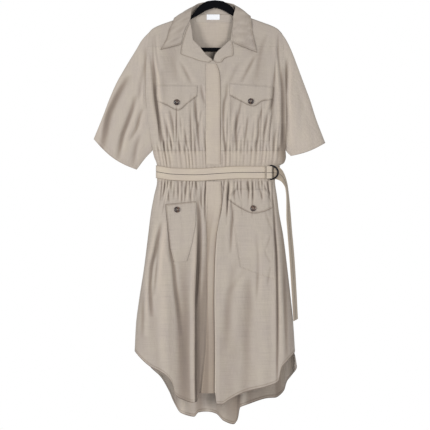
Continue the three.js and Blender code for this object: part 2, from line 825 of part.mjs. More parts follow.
// Collar stand: behind the hanger, from under the roll down to the neck seam
function collarStand() {
  const stations = COLLAR.slice(7, 12);
  const rows = [0, 0.5, 1].map((share) => stations.map((station) => {
    const face = new THREE.Vector3(station.faceX, station.faceY, station.faceZ).normalize();
    const roll = collarPoint(station.rollX, station.rollY, station.rollDown);
    roll.addScaledVector(face, -STAND_GAP);
    roll.z -= STAND_DROP;
    const seamX = clamp(station.rollX, NECK.left.x + 9, NECK.right.x - 9);
    const seam = facePoint(BACK, seamX, topEdge(BACK, seamX) + 0.01).outer;
    seam.y -= WALL / 2;
    seam.z += SEAM + 0.4;
    const place = roll.lerp(seam, share);
    return {
      outer: place.clone().add(new THREE.Vector3(0, WALL / 2, 0)),
      inner: place.clone().add(new THREE.Vector3(0, -WALL / 2, 0)),
    };
  }));
  return clothWall(rows);
}

// Back neck facing and label, laid on the inside of the back
const FACING_GAP = -(WALL + 0.5 + WALL);
const LABEL_WALL = 1;
const LABEL_GAP = FACING_GAP - 1.4;
const NECK_FACING = table(PAIR, [[-52, 44, 46, 44], [-58, 56, 52, 56], [-56, 66, 50, 66]]);
const LABEL = table(PAIR, [[-25, 43.5, 14, 43.5], [-25, 59, 14, 59]]);

// Belt: a band once round the waist, its front end folded back over the legs of the rings
const BELT_LEVEL = 518;
const BELT_TOP = table(['x', 'down'], [
  [-176, 496], [-126, 504], [-57, 506], [12, 502], [75, 499], [190, 499],
]);
const BELT_STATIONS = [-120, -90, -60, -30, 0, 30, 60, 90, 120];
const BELT_ENDS = [0, 1.5, 5, 11, 20, 32];
const BELT_START = 164;
const RING = { leg: 165.5, reach: 22.8, height: 44, wire: 3.2, pitch: 3.5, play: 1 };
const LOOP = { start: 150, wall: 1.5, inset: 1.8, turns: 6 };

// Row of the belt at a share of its width, from the front end round the left side and the back
function beltRow(share) {
  const row = [];
  const step = (face, x) => {
    const down = at(BELT_TOP, 'x', x, 'down') + share * BELT_WIDTH;
    row.push(facePoint(face, x, down, { folds: 0, lift: BELT_LIFT, thickness: BELT_WALL }));
  };
  const level = at(BELT_TOP, 'x', RING.leg, 'down') + share * BELT_WIDTH;
  const left = sideEdge('left', level);
  const right = sideEdge('right', level);
  for (const x of [BELT_START, 145, ...BELT_STATIONS.toReversed()]) step(FRONT, x);
  for (const inset of BELT_ENDS.toReversed()) step(FRONT, left + inset);
  for (const inset of BELT_ENDS.slice(1)) step(BACK, left + inset);
  for (const x of BELT_STATIONS) step(BACK, x);
  for (const inset of BELT_ENDS.toReversed()) step(BACK, right - inset);
  for (const inset of BELT_ENDS.slice(1, 3)) step(FRONT, right - inset);
  return row;
}

const beltFront = (x) => facePoint(FRONT, x, BELT_LEVEL, { folds: 0, lift: BELT_LIFT + BELT_WALL }).inner.y;
const rearRingY = () => beltFront(LOOP.start) - 2 * SEAM - LOOP.wall - RING.play - RING.wire / 2;

// Fold of the belt round the legs of the rings: out behind them, round, and back over the front
function ringLoop() {
  const behind = beltFront(LOOP.start) - SEAM;
  const before = rearRingY() - RING.pitch - RING.wire / 2 - SEAM;
  const turn = (behind - LOOP.wall - before) / 2;
  const middle = before + turn;
  const profile = [[LOOP.start, behind], [LOOP.start + 8, behind]];
  for (let i = 0; i <= LOOP.turns; i += 1) {
    const angle = Math.PI / 2 - (i / LOOP.turns) * Math.PI;
    const round = turn + LOOP.wall;
    profile.push([RING.leg + round * Math.cos(angle), middle + round * Math.sin(angle)]);
  }
  profile.push([LOOP.start + 4, before - LOOP.wall]);
  const rows = [0, 1].map((share) => profile.map(([x, y], k) => {
    const down = at(BELT_TOP, 'x', LOOP.start, 'down') + mix(LOOP.inset, BELT_WIDTH - LOOP.inset, share);
    const angle = Math.PI / 2 - (clamp(k - 2, 0, LOOP.turns) / LOOP.turns) * Math.PI;
    const outer = new THREE.Vector3(x, y, toZ(down));
    const out = new THREE.Vector3(Math.cos(angle), Math.sin(angle), 0);
    return { outer, inner: outer.clone().addScaledVector(out, -LOOP.wall) };
  }));
  return clothWall(rows);
}

// Belt tail: leaves the rings, turns edge on and hangs beside the skirt
const TAIL = table(['topX', 'topY', 'topDown', 'lowX', 'lowY', 'lowDown'], [
  [175, -20.8, 501, 175, -20.8, 537],
  [187, -20.1, 501, 185, -20.6, 539],
  [198, -13.8, 508, 195, -18.8, 543],
  [208, -3, 524, 203, -18, 550],
  [217, 8, 553, 211, -17, 566],
  [223, 15, 596, 214, -17, 600],
  [227, 18, 639, 214, -17, 645],
  [231, 19, 690, 217, -17, 694],
  [238, 19, 767, 223, -17, 770],
  [244, 19, 860, 229, -17, 862],
  [249, 19, 958, 235, -17, 962],
]);

function beltTail() {
  const corner = (row, end) => new THREE.Vector3(row[`${end}X`], row[`${end}Y`], toZ(row[`${end}Down`]));
  const rows = TAIL.map((row, k) => {
    const before = TAIL[Math.max(k - 1, 0)];
    const after = TAIL[Math.min(k + 1, TAIL.length - 1)];
    const across = corner(row, 'low').sub(corner(row, 'top'));
    const along = corner(after, 'top').sub(corner(before, 'top'));
    const face = across.clone().cross(along).normalize();
    return [0, 0.5, 1].map((share) => {
      const place = corner(row, 'top').addScaledVector(across, share);
      return {
        outer: place.clone().addScaledVector(face, BELT_WALL / 2),
        inner: place.clone().addScaledVector(face, -BELT_WALL / 2),
      };
    });
  });
  return clothWall(rows);
}

// D-rings: an upright leg beside the belt's end and a round bow to the right
function ringPath() {
  const half = (RING.height - RING.wire) / 2;
  const path = [];
  for (const z of [-half, 0, half]) path.push({ x: RING.leg, z: toZ(BELT_LEVEL) + z });
  for (let i = 1; i < 12; i += 1) {
    const angle = Math.PI / 2 - (i / 12) * Math.PI;
    path.push({
      x: RING.leg + RING.reach * Math.cos(angle),
      z: toZ(BELT_LEVEL) + half * Math.sin(angle),
    });
  }
  return path;
}

// Hanger body: an arch at the neck, sloping arms under the shoulders and a bar across
const HANGER_OUTLINE = table(['reach', 'down'], [
  [5, 0],
  [24, 3],
  [48, 17],
  [70, 44 + ARM_DROP],
  [104, 53 + ARM_DROP],
  [143, 67 + ARM_DROP],
  [170, 77 + ARM_DROP],
  [183, 86 + ARM_DROP],
  [188, 99],
  [189, 118],
  [184, 136],
  [172, 150],
  [158, 155],
]);
const HANGER_HOLE = table(['reach', 'down'], [
  [0, 23],
  [25, 31],
  [50, 46],
  [72, 58],
  [104, 71],
  [143, 85],
  [166, 96],
  [175, 108],
  [175, 124],
  [168, 137],
  [154, 143],
]);

function hangerBody() {
  const mirrored = (rows) => {
    const right = rows.map((row) => new THREE.Vector2(row.reach, toZ(row.down)));
    const left = right.filter((point) => point.x > 0).map((point) => new THREE.Vector2(-point.x, point.y));
    return right.concat(left.toReversed());
  };
  const shape = new THREE.Shape(mirrored(HANGER_OUTLINE).toReversed());
  shape.holes.push(new THREE.Path(mirrored(HANGER_HOLE)));
  const geometry = new THREE.ExtrudeGeometry(shape, { depth: HANGER_THICKNESS, bevelEnabled: false });
  geometry.rotateX(Math.PI / 2);
  geometry.translate(0, HANGER_THICKNESS / 2, 0);
  return geometry;
}

// Hook: a stem that bends over, with the inside of its top at the origin
function hangerHook() {
  const top = HOOK_WIRE / 2;
  const route = new THREE.CatmullRomCurve3([
    [0, HANGER_TOP + SEAM], [0, -58], [5, -47], [15, -35], [20, -20], [15, -5],
    [0, top], [-15, -5], [-20, -19], [-18, -30],
  ].map(([x, z]) => new THREE.Vector3(x, 0, z)));
  const circle = new THREE.Shape().absarc(0, 0, HOOK_WIRE / 2, 0, 2 * Math.PI);
  const sweep = { steps: 26, curveSegments: 4, extrudePath: route, bevelEnabled: false };
  return new THREE.ExtrudeGeometry(circle, sweep);
}

for (const side of ['left', 'right']) {
  addMesh(`front_yoke_${side}`, frontYoke(side), COLOURS.cloth);
  addMesh(`bodice_front_${side}`, bodiceFront(side), COLOURS.cloth);
  addMesh(`waistband_front_${side}`, waistband(FRONT, side), COLOURS.cloth);
  addMesh(`skirt_front_${side}`, skirtPanel(FRONT, side), COLOURS.cloth);
  addMesh(`sleeve_${side}`, sleeve(side), COLOURS.cloth);
  addMesh(`lapel_${side}`, laid(FRONT, LAPELS[side], 4, 0, { lift: LAPEL_LIFT }), COLOURS.cloth);
}
addMesh('bodice_back', bodiceBack(), COLOURS.cloth);
addMesh('waistband_back', waistband(BACK, 'back'), COLOURS.cloth);
addMesh('skirt_back', skirtPanel(BACK, 'back'), COLOURS.cloth);
addMesh('collar', collar(), COLOURS.cloth);
addMesh('collar_stand', collarStand(), COLOURS.inside);
addMesh('neck_facing', laid(BACK, NECK_FACING, 6, 0, { lift: FACING_GAP }), COLOURS.inside);
const labelFit = { lift: LABEL_GAP, thickness: LABEL_WALL };
addMesh('neck_label', laid(BACK, LABEL, 3, 0, labelFit), COLOURS.label);
for (const [name, pairs] of Object.entries(PLACKETS)) {
  addMesh(name, laid(FRONT, pairs, 3, 1, { lift: PLACKET_LIFT }), COLOURS.placket);
}
for (const [name, pairs] of Object.entries(POCKETS)) {
  addMesh(name, laid(FRONT, pairs, 8, 1, { lift: POCKET_LIFT }), COLOURS.cloth);
}
for (const [name, pairs] of Object.entries(FLAPS)) {
  addMesh(name, laid(FRONT, pairs, 3, 1, { lift: FLAP_LIFT }), COLOURS.cloth);
}
for (const place of BUTTONS) addMesh(place.name, button(place), COLOURS.horn, 0.35);
addMesh('belt_band', clothWall([0, 0.5, 1].map(beltRow)), COLOURS.belt);
addMesh('belt_ring_loop', ringLoop(), COLOURS.belt);
addMesh('belt_tail', beltTail(), COLOURS.belt);
addMesh('d_ring_front', wireLoop(ringPath(), rearRingY() - RING.pitch, RING.wire / 2), COLOURS.metal, 0.3, 0.9);
addMesh('d_ring_rear', wireLoop(ringPath(), rearRingY(), RING.wire / 2), COLOURS.metal, 0.3, 0.9);
addMesh('hanger_body', hangerBody(), COLOURS.flock, 0.95);
addMesh('hanger_hook', hangerHook(), COLOURS.steel, 0.3, 0.9);

export default group;
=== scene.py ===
# %% [markdown]
# # A shirt dress of crisp cotton on its hanger
# The solids give the dress its true sizes. This file gives it its looks: thin cloth, creases, seams and stitches.
# Every shape is worked out in millimetres in the same frame as the solids, then written to a mesh in metres.
# X runs to the viewer's right, Y away from the viewer and Z up. Left and right are the viewer's.

import math

import bpy
import numpy as np
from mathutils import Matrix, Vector


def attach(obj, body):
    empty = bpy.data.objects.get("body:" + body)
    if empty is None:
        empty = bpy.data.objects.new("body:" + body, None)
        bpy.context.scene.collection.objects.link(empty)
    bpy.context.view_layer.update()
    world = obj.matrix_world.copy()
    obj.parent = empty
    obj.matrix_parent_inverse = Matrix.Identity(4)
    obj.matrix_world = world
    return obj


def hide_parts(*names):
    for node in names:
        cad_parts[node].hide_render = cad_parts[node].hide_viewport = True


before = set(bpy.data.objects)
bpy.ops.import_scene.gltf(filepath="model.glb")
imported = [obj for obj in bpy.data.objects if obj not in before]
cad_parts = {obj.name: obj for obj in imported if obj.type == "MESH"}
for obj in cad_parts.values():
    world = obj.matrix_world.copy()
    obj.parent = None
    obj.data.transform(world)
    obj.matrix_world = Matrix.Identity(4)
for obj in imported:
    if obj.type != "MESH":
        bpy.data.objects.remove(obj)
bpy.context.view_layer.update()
MM = 0.001
FRONT, BACK = -1, 1

# %% [markdown]
# ## Camera, light and floor
# The dress is seen square on. The camera stands far off, so the near and far cloth keep one size.
# A lamp low on the left draws the creases, a wider one on the right keeps their shadows soft,
# and a white world fills the rest. The floor lies below the hem, as in a room where the dress hangs.

# %% Camera
PICTURE_HEIGHT = 1.29
PICTURE_MIDDLE = (0.0, -0.717)
CAMERA_DISTANCE = 4.2

camera_data = bpy.data.cameras.new("camera")
camera_data.sensor_fit = "VERTICAL"
camera_data.angle = 2 * math.atan(PICTURE_HEIGHT / 2 / CAMERA_DISTANCE)
camera = bpy.data.objects.new("camera", camera_data)
camera.location = (PICTURE_MIDDLE[0], -CAMERA_DISTANCE, PICTURE_MIDDLE[1])
camera.rotation_euler = (math.pi / 2, 0, 0)
bpy.context.collection.objects.link(camera)
bpy.context.scene.camera = camera
print("camera angle:", round(math.degrees(camera_data.angle), 2))


# %% Lamps and world
def lamp(name, place, size, watts, target=(0.0, 0.0, -0.72)):
    """Square lamp at a place in metres, turned so that its line of light runs from the place to the target."""
    data = bpy.data.lights.new(name, "AREA")
    data.shape = "SQUARE"
    data.size = size
    data.energy = watts
    made = bpy.data.objects.new(name, data)
    made.location = place
    made.rotation_euler = (Vector(target) - Vector(place)).to_track_quat("-Z", "Y").to_euler()
    bpy.context.collection.objects.link(made)
    return made


lamp("lamp_left", (-2.7, -2.3, -0.3), 0.9, 66)
lamp("lamp_right", (1.7, -3.4, -0.5), 1.3, 62)
lamp("lamp_behind", (0.5, 3.0, 1.2), 2.0, 40)

world = bpy.data.worlds.new("white_room")
world.use_nodes = True
bpy.context.scene.world = world
sky = world.node_tree
sky.nodes.clear()
sky_out = sky.nodes.new("ShaderNodeOutputWorld")
sky_mix = sky.nodes.new("ShaderNodeMixShader")
sky_path = sky.nodes.new("ShaderNodeLightPath")
sky_fill = sky.nodes.new("ShaderNodeBackground")
sky_fill.inputs["Color"].default_value = (0.93, 0.96, 1.0, 1)
sky_fill.inputs["Strength"].default_value = 0.42
sky_seen = sky.nodes.new("ShaderNodeBackground")
sky_seen.inputs["Color"].default_value = (1, 1, 1, 1)
sky_seen.inputs["Strength"].default_value = 1.0
sky.links.new(sky_path.outputs["Is Camera Ray"], sky_mix.inputs["Fac"])
sky.links.new(sky_fill.outputs["Background"], sky_mix.inputs[1])
sky.links.new(sky_seen.outputs["Background"], sky_mix.inputs[2])
sky.links.new(sky_mix.outputs["Shader"], sky_out.inputs["Surface"])
bpy.context.scene.view_settings.view_transform = "Standard"


# %% [markdown]
# ## Surfaces from numbers
# A piece of cloth is a grid of points. Its outer face is the grid, its inner face is the same grid moved in
# by the cloth's thickness, and a rim closes the edge, so each piece is a thin closed shell.
# The grid also gives the cloth its own map: how far along and down the weave each point lies, in metres.

# %% Smooth curves through tables
def columns(names, rows):
    """Table as a dictionary: one array for each named column."""
    return dict(zip(names, np.array(rows, float).T))


def smooth(places, values):
    """Cubic through the points. Its slope at each is the harmonic mean of the two beside it, so it never overshoots."""
    places, values = np.asarray(places, float), np.asarray(values, float)
    run = np.diff(places)
    rate = np.diff(values) / run
    both = rate[:-1] + rate[1:]
    mean = 2 * rate[:-1] * rate[1:] / np.where(both == 0, 1, both)
    slope = np.concatenate([rate[:1], np.where(rate[:-1] * rate[1:] > 0, mean, 0), rate[-1:]])

    def at(place):
        place = np.clip(place, places[0], places[-1])
        i = np.clip(np.searchsorted(places, place, side="right") - 1, 0, len(run) - 1)
        t = (place - places[i]) / run[i]
        hold = (2 * t**3 - 3 * t**2 + 1) * values[i] + (3 * t**2 - 2 * t**3) * values[i + 1]
        return hold + run[i] * ((t**3 - 2 * t**2 + t) * slope[i] + (t**3 - t**2) * slope[i + 1])

    return at


def straight(places, values):
    """Straight lines through the points."""
    return lambda place: np.interp(place, places, values)


def mix(a, b, share):
    return a + (b - a) * share


def step(value, low=0.0, high=1.0):
    """0 below low, 1 above high, and a soft S between: 3t^2 - 2t^3."""
    t = np.clip((value - low) / (high - low), 0, 1)
    return t * t * (3 - 2 * t)


def spread(count, pull=0.5):
    """Shares from 0 to 1 that stand closer together at both ends: a mix of t and (1 - cos(pi t)) / 2."""
    t = np.linspace(0, 1, count)
    return mix(t, (1 - np.cos(np.pi * t)) / 2, pull)


print("smooth curve through 0, 1, 0 at 0.5:", float(smooth([0, 1, 2], [0, 1, 0])(0.5)))


# %% Meshes from grids
def finish_piece(name, points, faces, spots=None, uv=None, sharp=50):
    """Mesh object: points in mm, quads and triangles as index arrays, spots index the uv of each corner."""
    mesh = bpy.data.meshes.new(name)
    corners = np.concatenate([f.ravel() for f in faces]).astype(np.int32)
    sizes = np.concatenate([np.full(len(f), f.shape[1]) for f in faces])
    mesh.vertices.add(len(points))
    mesh.vertices.foreach_set("co", (points * MM).astype(np.float32).ravel())
    mesh.loops.add(len(corners))
    mesh.loops.foreach_set("vertex_index", corners)
    mesh.polygons.add(len(sizes))
    mesh.polygons.foreach_set("loop_start", (np.cumsum(sizes) - sizes).astype(np.int32))
    mesh.polygons.foreach_set("use_smooth", np.ones(len(sizes), bool))
    mesh.update(calc_edges=True)
    if uv is not None:
        layer = mesh.uv_layers.new(name="weave")
        where = np.concatenate([s.ravel() for s in spots])
        layer.data.foreach_set("uv", uv[where].astype(np.float32).ravel())
    mesh.set_sharp_from_angle(angle=math.radians(sharp))
    made = bpy.data.objects.new(name, mesh)
    bpy.context.collection.objects.link(made)
    return made


def volume(points, faces):
    """Signed volume: a sixth of the sum of p0 . (p1 x p2) over the triangles of each face."""
    total = 0.0
    for f in faces:
        for k in range(1, f.shape[1] - 1):
            cross = np.cross(points[f[:, k]], points[f[:, k + 1]])
            total += np.einsum("ij,ij->", points[f[:, 0]], cross) / 6
    return total


def lengths(grid, axis):
    """Running length along the grid's rows or columns."""
    gaps = np.linalg.norm(np.diff(grid, axis=axis), axis=-1)
    first = np.zeros_like(np.take(gaps, [0], axis=axis))
    return np.cumsum(np.concatenate([first, gaps], axis=axis), axis=axis)


def grid_area(grid):
    """Area of the grid's face: half the cross product of each quad's diagonals."""
    cross = np.cross(grid[1:, 1:] - grid[:-1, :-1], grid[1:, :-1] - grid[:-1, 1:])
    return np.linalg.norm(cross, axis=-1).sum() / 2


# %% A closed shell between two faces
def shell(name, outer, inner, wrap=False, sharp=50, fold=0.0, painted_shade_inside=None):
    """Closed shell from an outer and an inner grid of rows by columns. wrap joins the last column to the first.
    fold is the painted shade of each point for the material: deepest in the folds, a painted highlight on the ridges.
    The inner side may have its own."""
    rows, cols = outer.shape[:2]
    count = rows * cols
    ring = np.concatenate([outer, outer[:, :1]], axis=1) if wrap else outer
    across, along = lengths(ring, 1), lengths(ring, 0)
    across -= across[:, -1:] / 2
    uv = np.stack([across, -along], -1).reshape(-1, 2) * MM
    where = np.arange(count).reshape(rows, cols)
    where = np.hstack([where, where[:, :1]]) if wrap else where
    spot = np.arange(where.size).reshape(where.shape)
    corner = (slice(None, -1), slice(None, -1)), (slice(None, -1), slice(1, None))
    corner += (slice(1, None), slice(1, None)), (slice(1, None), slice(None, -1))

    def quads(index):
        return np.stack([index[c] for c in corner], -1).reshape(-1, 4)

    def rims(index):
        if wrap:
            return [index[0], index[-1][::-1]]
        return [np.concatenate([index[0], index[1:, -1], index[-1, -2::-1], index[-2::-1, 0]])]

    def rim_quads(line, shift):
        return np.stack([line[1:], line[:-1], line[:-1] + shift, line[1:] + shift], -1)

    faces = [quads(where), quads(where)[:, ::-1] + count] + [rim_quads(line, count) for line in rims(where)]
    spots = [quads(spot), quads(spot)[:, ::-1]] + [rim_quads(line, 0) for line in rims(spot)]
    points = np.concatenate([outer.reshape(-1, 3), inner.reshape(-1, 3)])
    if volume(points, faces) < 0:
        faces = [f[:, ::-1] for f in faces]
        spots = [s[:, ::-1] for s in spots]
    made = finish_piece(name, points, faces, spots, uv, sharp)
    sides = (fold, fold if painted_shade_inside is None else painted_shade_inside)
    depth = np.concatenate([np.broadcast_to(value, (rows, cols)).ravel() for value in sides])
    made.data.attributes.new("fold", "FLOAT", "POINT").data.foreach_set("value", depth.astype(np.float32))
    made["cut_mm"] = [float(across.max(axis=1).max() * 2), float(along[-1].max()), float(grid_area(ring))]
    return made


# %% Points moved off a surface, and wires along a path
def offset(grid, thickness, hint, wrap=False):
    """Grid moved along its normals, on the side that hint points to. hint is a vector or a grid of vectors."""
    ring = np.concatenate([grid[:, -1:], grid, grid[:, :1]], axis=1) if wrap else grid
    along, across = np.gradient(ring, axis=0), np.gradient(ring, axis=1)
    normal = np.cross(along, across)
    normal = normal[:, 1:-1] if wrap else normal
    normal /= np.maximum(np.linalg.norm(normal, axis=-1, keepdims=True), 1e-9)
    lean = np.einsum("ijk,ijk->ij", normal, np.broadcast_to(hint, normal.shape))
    sign = 1 if lean.sum() > 0 else -1
    return grid + sign * normal * np.asarray(thickness)[..., None]


def tube(name, path, radius, sides=16, closed=False, up=(0, 1, 0), sharp=50, wide=1.0):
    """Wire along a path: each point gets a ring across the path's direction, wide times as broad across up as along it.
    Ends are closed by a fan."""
    path = np.asarray(path, float)
    if closed:
        forward = np.roll(path, -1, 0) - np.roll(path, 1, 0)
    else:
        forward = np.gradient(path, axis=0)
    forward /= np.linalg.norm(forward, axis=1, keepdims=True)
    side = np.cross(forward, np.asarray(up, float))
    side /= np.linalg.norm(side, axis=1, keepdims=True)
    rise = np.cross(side, forward)
    angle = np.linspace(0, 2 * np.pi, sides, endpoint=False)
    circle = wide * side[:, None] * np.cos(angle)[:, None] + rise[:, None] * np.sin(angle)[:, None]
    rings = path[:, None] + circle * np.broadcast_to(radius, len(path))[:, None, None]
    index = np.arange(len(path) * sides).reshape(len(path), sides)
    index = np.hstack([index, index[:, :1]])
    index = np.vstack([index, index[:1]]) if closed else index
    quads = np.stack([index[:-1, :-1], index[:-1, 1:], index[1:, 1:], index[1:, :-1]], -1).reshape(-1, 4)
    points, faces = rings.reshape(-1, 3), [quads]
    if not closed:
        points = np.concatenate([points, path[:1], path[-1:]])
        first, last = len(points) - 2, len(points) - 1
        head = np.stack([index[0, 1:], index[0, :-1], np.full(sides, first)], -1)
        tail = np.stack([index[-1, :-1], index[-1, 1:], np.full(sides, last)], -1)
        faces += [head, tail]
    if volume(points, faces) < 0:
        faces = [f[:, ::-1] for f in faces]
    return finish_piece(name, points, faces, sharp=sharp)


def rounded(points, per=8, closed=False):
    """Catmull-Rom curve: between b and c, half of 2b + (c-a)t + (2a-5b+4c-d)t^2 + (3b-a-3c+d)t^3."""
    p = np.asarray(points, float)
    ends = (p[-1:], p[:2]) if closed else (2 * p[:1] - p[1:2], 2 * p[-1:] - p[-2:-1])
    p = np.concatenate([ends[0], p, ends[1]])
    t = (np.arange(per) / per)[None, :, None]
    a, b, c, d = (p[k : len(p) - 3 + k, None] for k in range(4))
    curve = (2 * b + (c - a) * t + (2 * a - 5 * b + 4 * c - d) * t**2 + (3 * b - a - 3 * c + d) * t**3) / 2
    curve = curve.reshape(-1, p.shape[1])
    return curve if closed else np.concatenate([curve, p[-2:-1]])


print("wire builder ready")

# %% [markdown]
# ## Cotton, horn, lacquer and flock
# Crisp cotton is matt with a faint sheen. Its weft has slubs, thicker bits of yarn that run across as fine streaks,
# and a crinkle runs down it. Both are noise stretched along the cloth's own map, so they turn with each piece.
# A colour that varies is linked; numbers that are the same all over stay on the shader's own sockets.

# %% Cloth material
def new_material(name):
    """Empty material with one shader and its output."""
    made = bpy.data.materials.new(name)
    made.use_nodes = True
    nodes = made.node_tree.nodes
    nodes.clear()
    out = nodes.new("ShaderNodeOutputMaterial")
    shader = nodes.new("ShaderNodeBsdfPrincipled")
    made.node_tree.links.new(shader.outputs["BSDF"], out.inputs["Surface"])
    return made, shader


def stretched_noise(tree, source, scale, detail=3.0, place=(0.0, 0.0, 0.0)):
    """Noise over a source of coordinates, with its own scale along each of them."""
    turn = tree.nodes.new("ShaderNodeMapping")
    turn.inputs["Scale"].default_value = scale
    turn.inputs["Location"].default_value = place
    noise = tree.nodes.new("ShaderNodeTexNoise")
    noise.inputs["Scale"].default_value = 1.0
    noise.inputs["Detail"].default_value = detail
    tree.links.new(source, turn.inputs["Vector"])
    tree.links.new(turn.outputs["Vector"], noise.inputs["Vector"])
    return noise.outputs["Fac"]


def bump(tree, height, distance, strength, under=None):
    """Bump from a height, on top of the normal that another bump gives."""
    made = tree.nodes.new("ShaderNodeBump")
    made.inputs["Distance"].default_value = distance
    made.inputs["Strength"].default_value = strength
    tree.links.new(height, made.inputs["Height"])
    if under is not None:
        tree.links.new(under, made.inputs["Normal"])
    return made.outputs["Normal"]


def ramp(tree, value, stops):
    """Colours over a value from 0 to 1."""
    made = tree.nodes.new("ShaderNodeValToRGB")
    made.color_ramp.elements[0].position, made.color_ramp.elements[0].color = stops[0][0], (*stops[0][1], 1)
    made.color_ramp.elements[1].position, made.color_ramp.elements[1].color = stops[-1][0], (*stops[-1][1], 1)
    for place, colour in stops[1:-1]:
        made.color_ramp.elements.new(place).color = (*colour, 1)
    tree.links.new(value, made.inputs["Fac"])
    return made.outputs["Color"]


def shade(colour, share):
    return tuple(channel * share for channel in colour)


def multiply(tree, first, second):
    """Product of two colours."""
    made = tree.nodes.new("ShaderNodeMix")
    made.data_type = "RGBA"
    made.blend_type = "MULTIPLY"
    made.inputs["Factor"].default_value = 1.0
    tree.links.new(first, made.inputs["A"])
    tree.links.new(second, made.inputs["B"])
    return made.outputs["Result"]


# %% Woven cotton
def cotton(name, colour, slub=1.0, crinkle=1.0):
    """Crisp cotton: streaks of slub and a soft mottle in the colour, slub, crinkle and weave in the bump.
    The fold attribute paints shade into the valleys, where the cloth shades itself, and a painted highlight on the
    ridges."""
    made, shader = new_material(name)
    tree = made.node_tree
    uv = tree.nodes.new("ShaderNodeUVMap")
    uv.uv_map = "weave"
    streak = stretched_noise(tree, uv.outputs["UV"], (16, 620, 1), 4.0)
    mottle = stretched_noise(tree, uv.outputs["UV"], (22, 14, 1), 3.0, (3.1, 1.7, 0))
    down = stretched_noise(tree, uv.outputs["UV"], (150, 34, 1), 3.0, (7.3, 2.9, 0))
    weave = stretched_noise(tree, uv.outputs["UV"], (1500, 1500, 1), 1.0, (1.3, 8.1, 0))
    colours = ramp(tree, streak, [(0.25, shade(colour, 0.9)), (0.5, colour), (0.78, shade(colour, 1.08))])
    tints = ramp(tree, mottle, [(0.3, (0.94, 0.93, 0.94)), (0.7, (1.0, 1.0, 0.97))])
    # Painted shade from the fold attribute: darker in the valleys, a painted highlight on the ridges
    fold = tree.nodes.new("ShaderNodeAttribute")
    fold.attribute_name = "fold"
    share = tree.nodes.new("ShaderNodeMapRange")
    share.inputs["From Min"].default_value = -0.5
    share.inputs["From Max"].default_value = 1.0
    tree.links.new(fold.outputs["Fac"], share.inputs["Value"])
    shades = ramp(tree, share.outputs["Result"], PAINTED_FOLD_SHADES)
    base = multiply(tree, multiply(tree, colours, tints), shades)
    tree.links.new(base, shader.inputs["Base Color"])
    normal = bump(tree, down, 0.0022, 0.6 * crinkle)
    normal = bump(tree, streak, 0.0003, 0.35 * slub, normal)
    normal = bump(tree, weave, 0.0002, 0.25, normal)
    tree.links.new(normal, shader.inputs["Normal"])
    shader.inputs["Roughness"].default_value = 0.78
    shader.inputs["Sheen Weight"].default_value = 0.12
    shader.inputs["Sheen Roughness"].default_value = 0.45
    return made


# Painted shade of the cloth by depth in a fold: a painted highlight at 0 on a ridge, none at a third on the flat, the
# deepest painted shade at 1 at the bottom of a valley
PAINTED_FOLD_SHADES = [
    (0.0, (1.2, 1.18, 1.15)), (0.333, (1.0, 1.0, 1.0)),
    (0.6, (0.62, 0.575, 0.545)), (1.0, (0.30, 0.265, 0.245)),
]
COTTON = (0.412, 0.357, 0.306)
cotton_body = cotton("cotton_body", COTTON)
cotton_sleeve = cotton("cotton_sleeve", (0.436, 0.378, 0.324))
cotton_strip = cotton("cotton_strip", (0.462, 0.394, 0.328), 1.0, 0.35)
cotton_waist = cotton("cotton_waist", (0.44, 0.376, 0.315), 1.0, 0.6)
# A lighter copy of the cotton: painted light on the inside of the neck, where the stand and the facing lie
cotton_inside_painted_light = cotton("cotton_inside_painted_light", (0.44, 0.383, 0.332), 1.0, 0.8)
cotton_belt = cotton("cotton_belt", (0.495, 0.421, 0.342), 1.4, 0.15)
# A darker copy of the belt's cotton: painted shade on the tail, which hangs edge on
cotton_tail_painted_shade = cotton("cotton_tail_painted_shade", (0.42, 0.345, 0.265), 1.4, 0.3)
print("cloth:", [m.name for m in bpy.data.materials])


# %% Hard and flocked materials
def plain(name, colour, roughness, metallic=0.0, specular=0.5):
    """Shader with one finish all over, and a fine grain in the bump from object coordinates."""
    made, shader = new_material(name)
    tree = made.node_tree
    coords = tree.nodes.new("ShaderNodeTexCoord")
    grain = stretched_noise(tree, coords.outputs["Object"], (900, 900, 900), 2.0)
    tint = ramp(tree, grain, [(0.3, shade(colour, 0.85)), (0.7, shade(colour, 1.1))])
    tree.links.new(tint, shader.inputs["Base Color"])
    tree.links.new(bump(tree, grain, 0.0001, 0.2), shader.inputs["Normal"])
    shader.inputs["Roughness"].default_value = roughness
    shader.inputs["Metallic"].default_value = metallic
    shader.inputs["Specular IOR Level"].default_value = specular
    return made


lacquer = plain("black_lacquer", (0.004, 0.004, 0.008), 0.5, 0.0, 0.15)
steel = plain("plated_steel", (0.62, 0.62, 0.64), 0.22, 1.0)
thread = plain("stitch_thread", (0.46, 0.39, 0.31), 0.7)
thread_dark = plain("dark_thread", (0.028, 0.026, 0.034), 0.7)
label_tape = plain("label_tape", (0.86, 0.86, 0.88), 0.5)

print("plain finishes:", [m.name for m in (lacquer, steel, thread, thread_dark, label_tape)])

# %% Flocking and horn
flock, flock_shader = new_material("black_flock")
flock_coords = flock.node_tree.nodes.new("ShaderNodeTexCoord")
flock_nap = stretched_noise(flock.node_tree, flock_coords.outputs["Object"], (700, 700, 700), 3.0)
flock_tone = ramp(flock.node_tree, flock_nap, [(0.3, (0.0015, 0.0015, 0.002)), (0.75, (0.005, 0.005, 0.007))])
flock.node_tree.links.new(flock_tone, flock_shader.inputs["Base Color"])
flock.node_tree.links.new(bump(flock.node_tree, flock_nap, 0.0006, 0.8), flock_shader.inputs["Normal"])
flock_shader.inputs["Roughness"].default_value = 0.95
flock_shader.inputs["Specular IOR Level"].default_value = 0.1

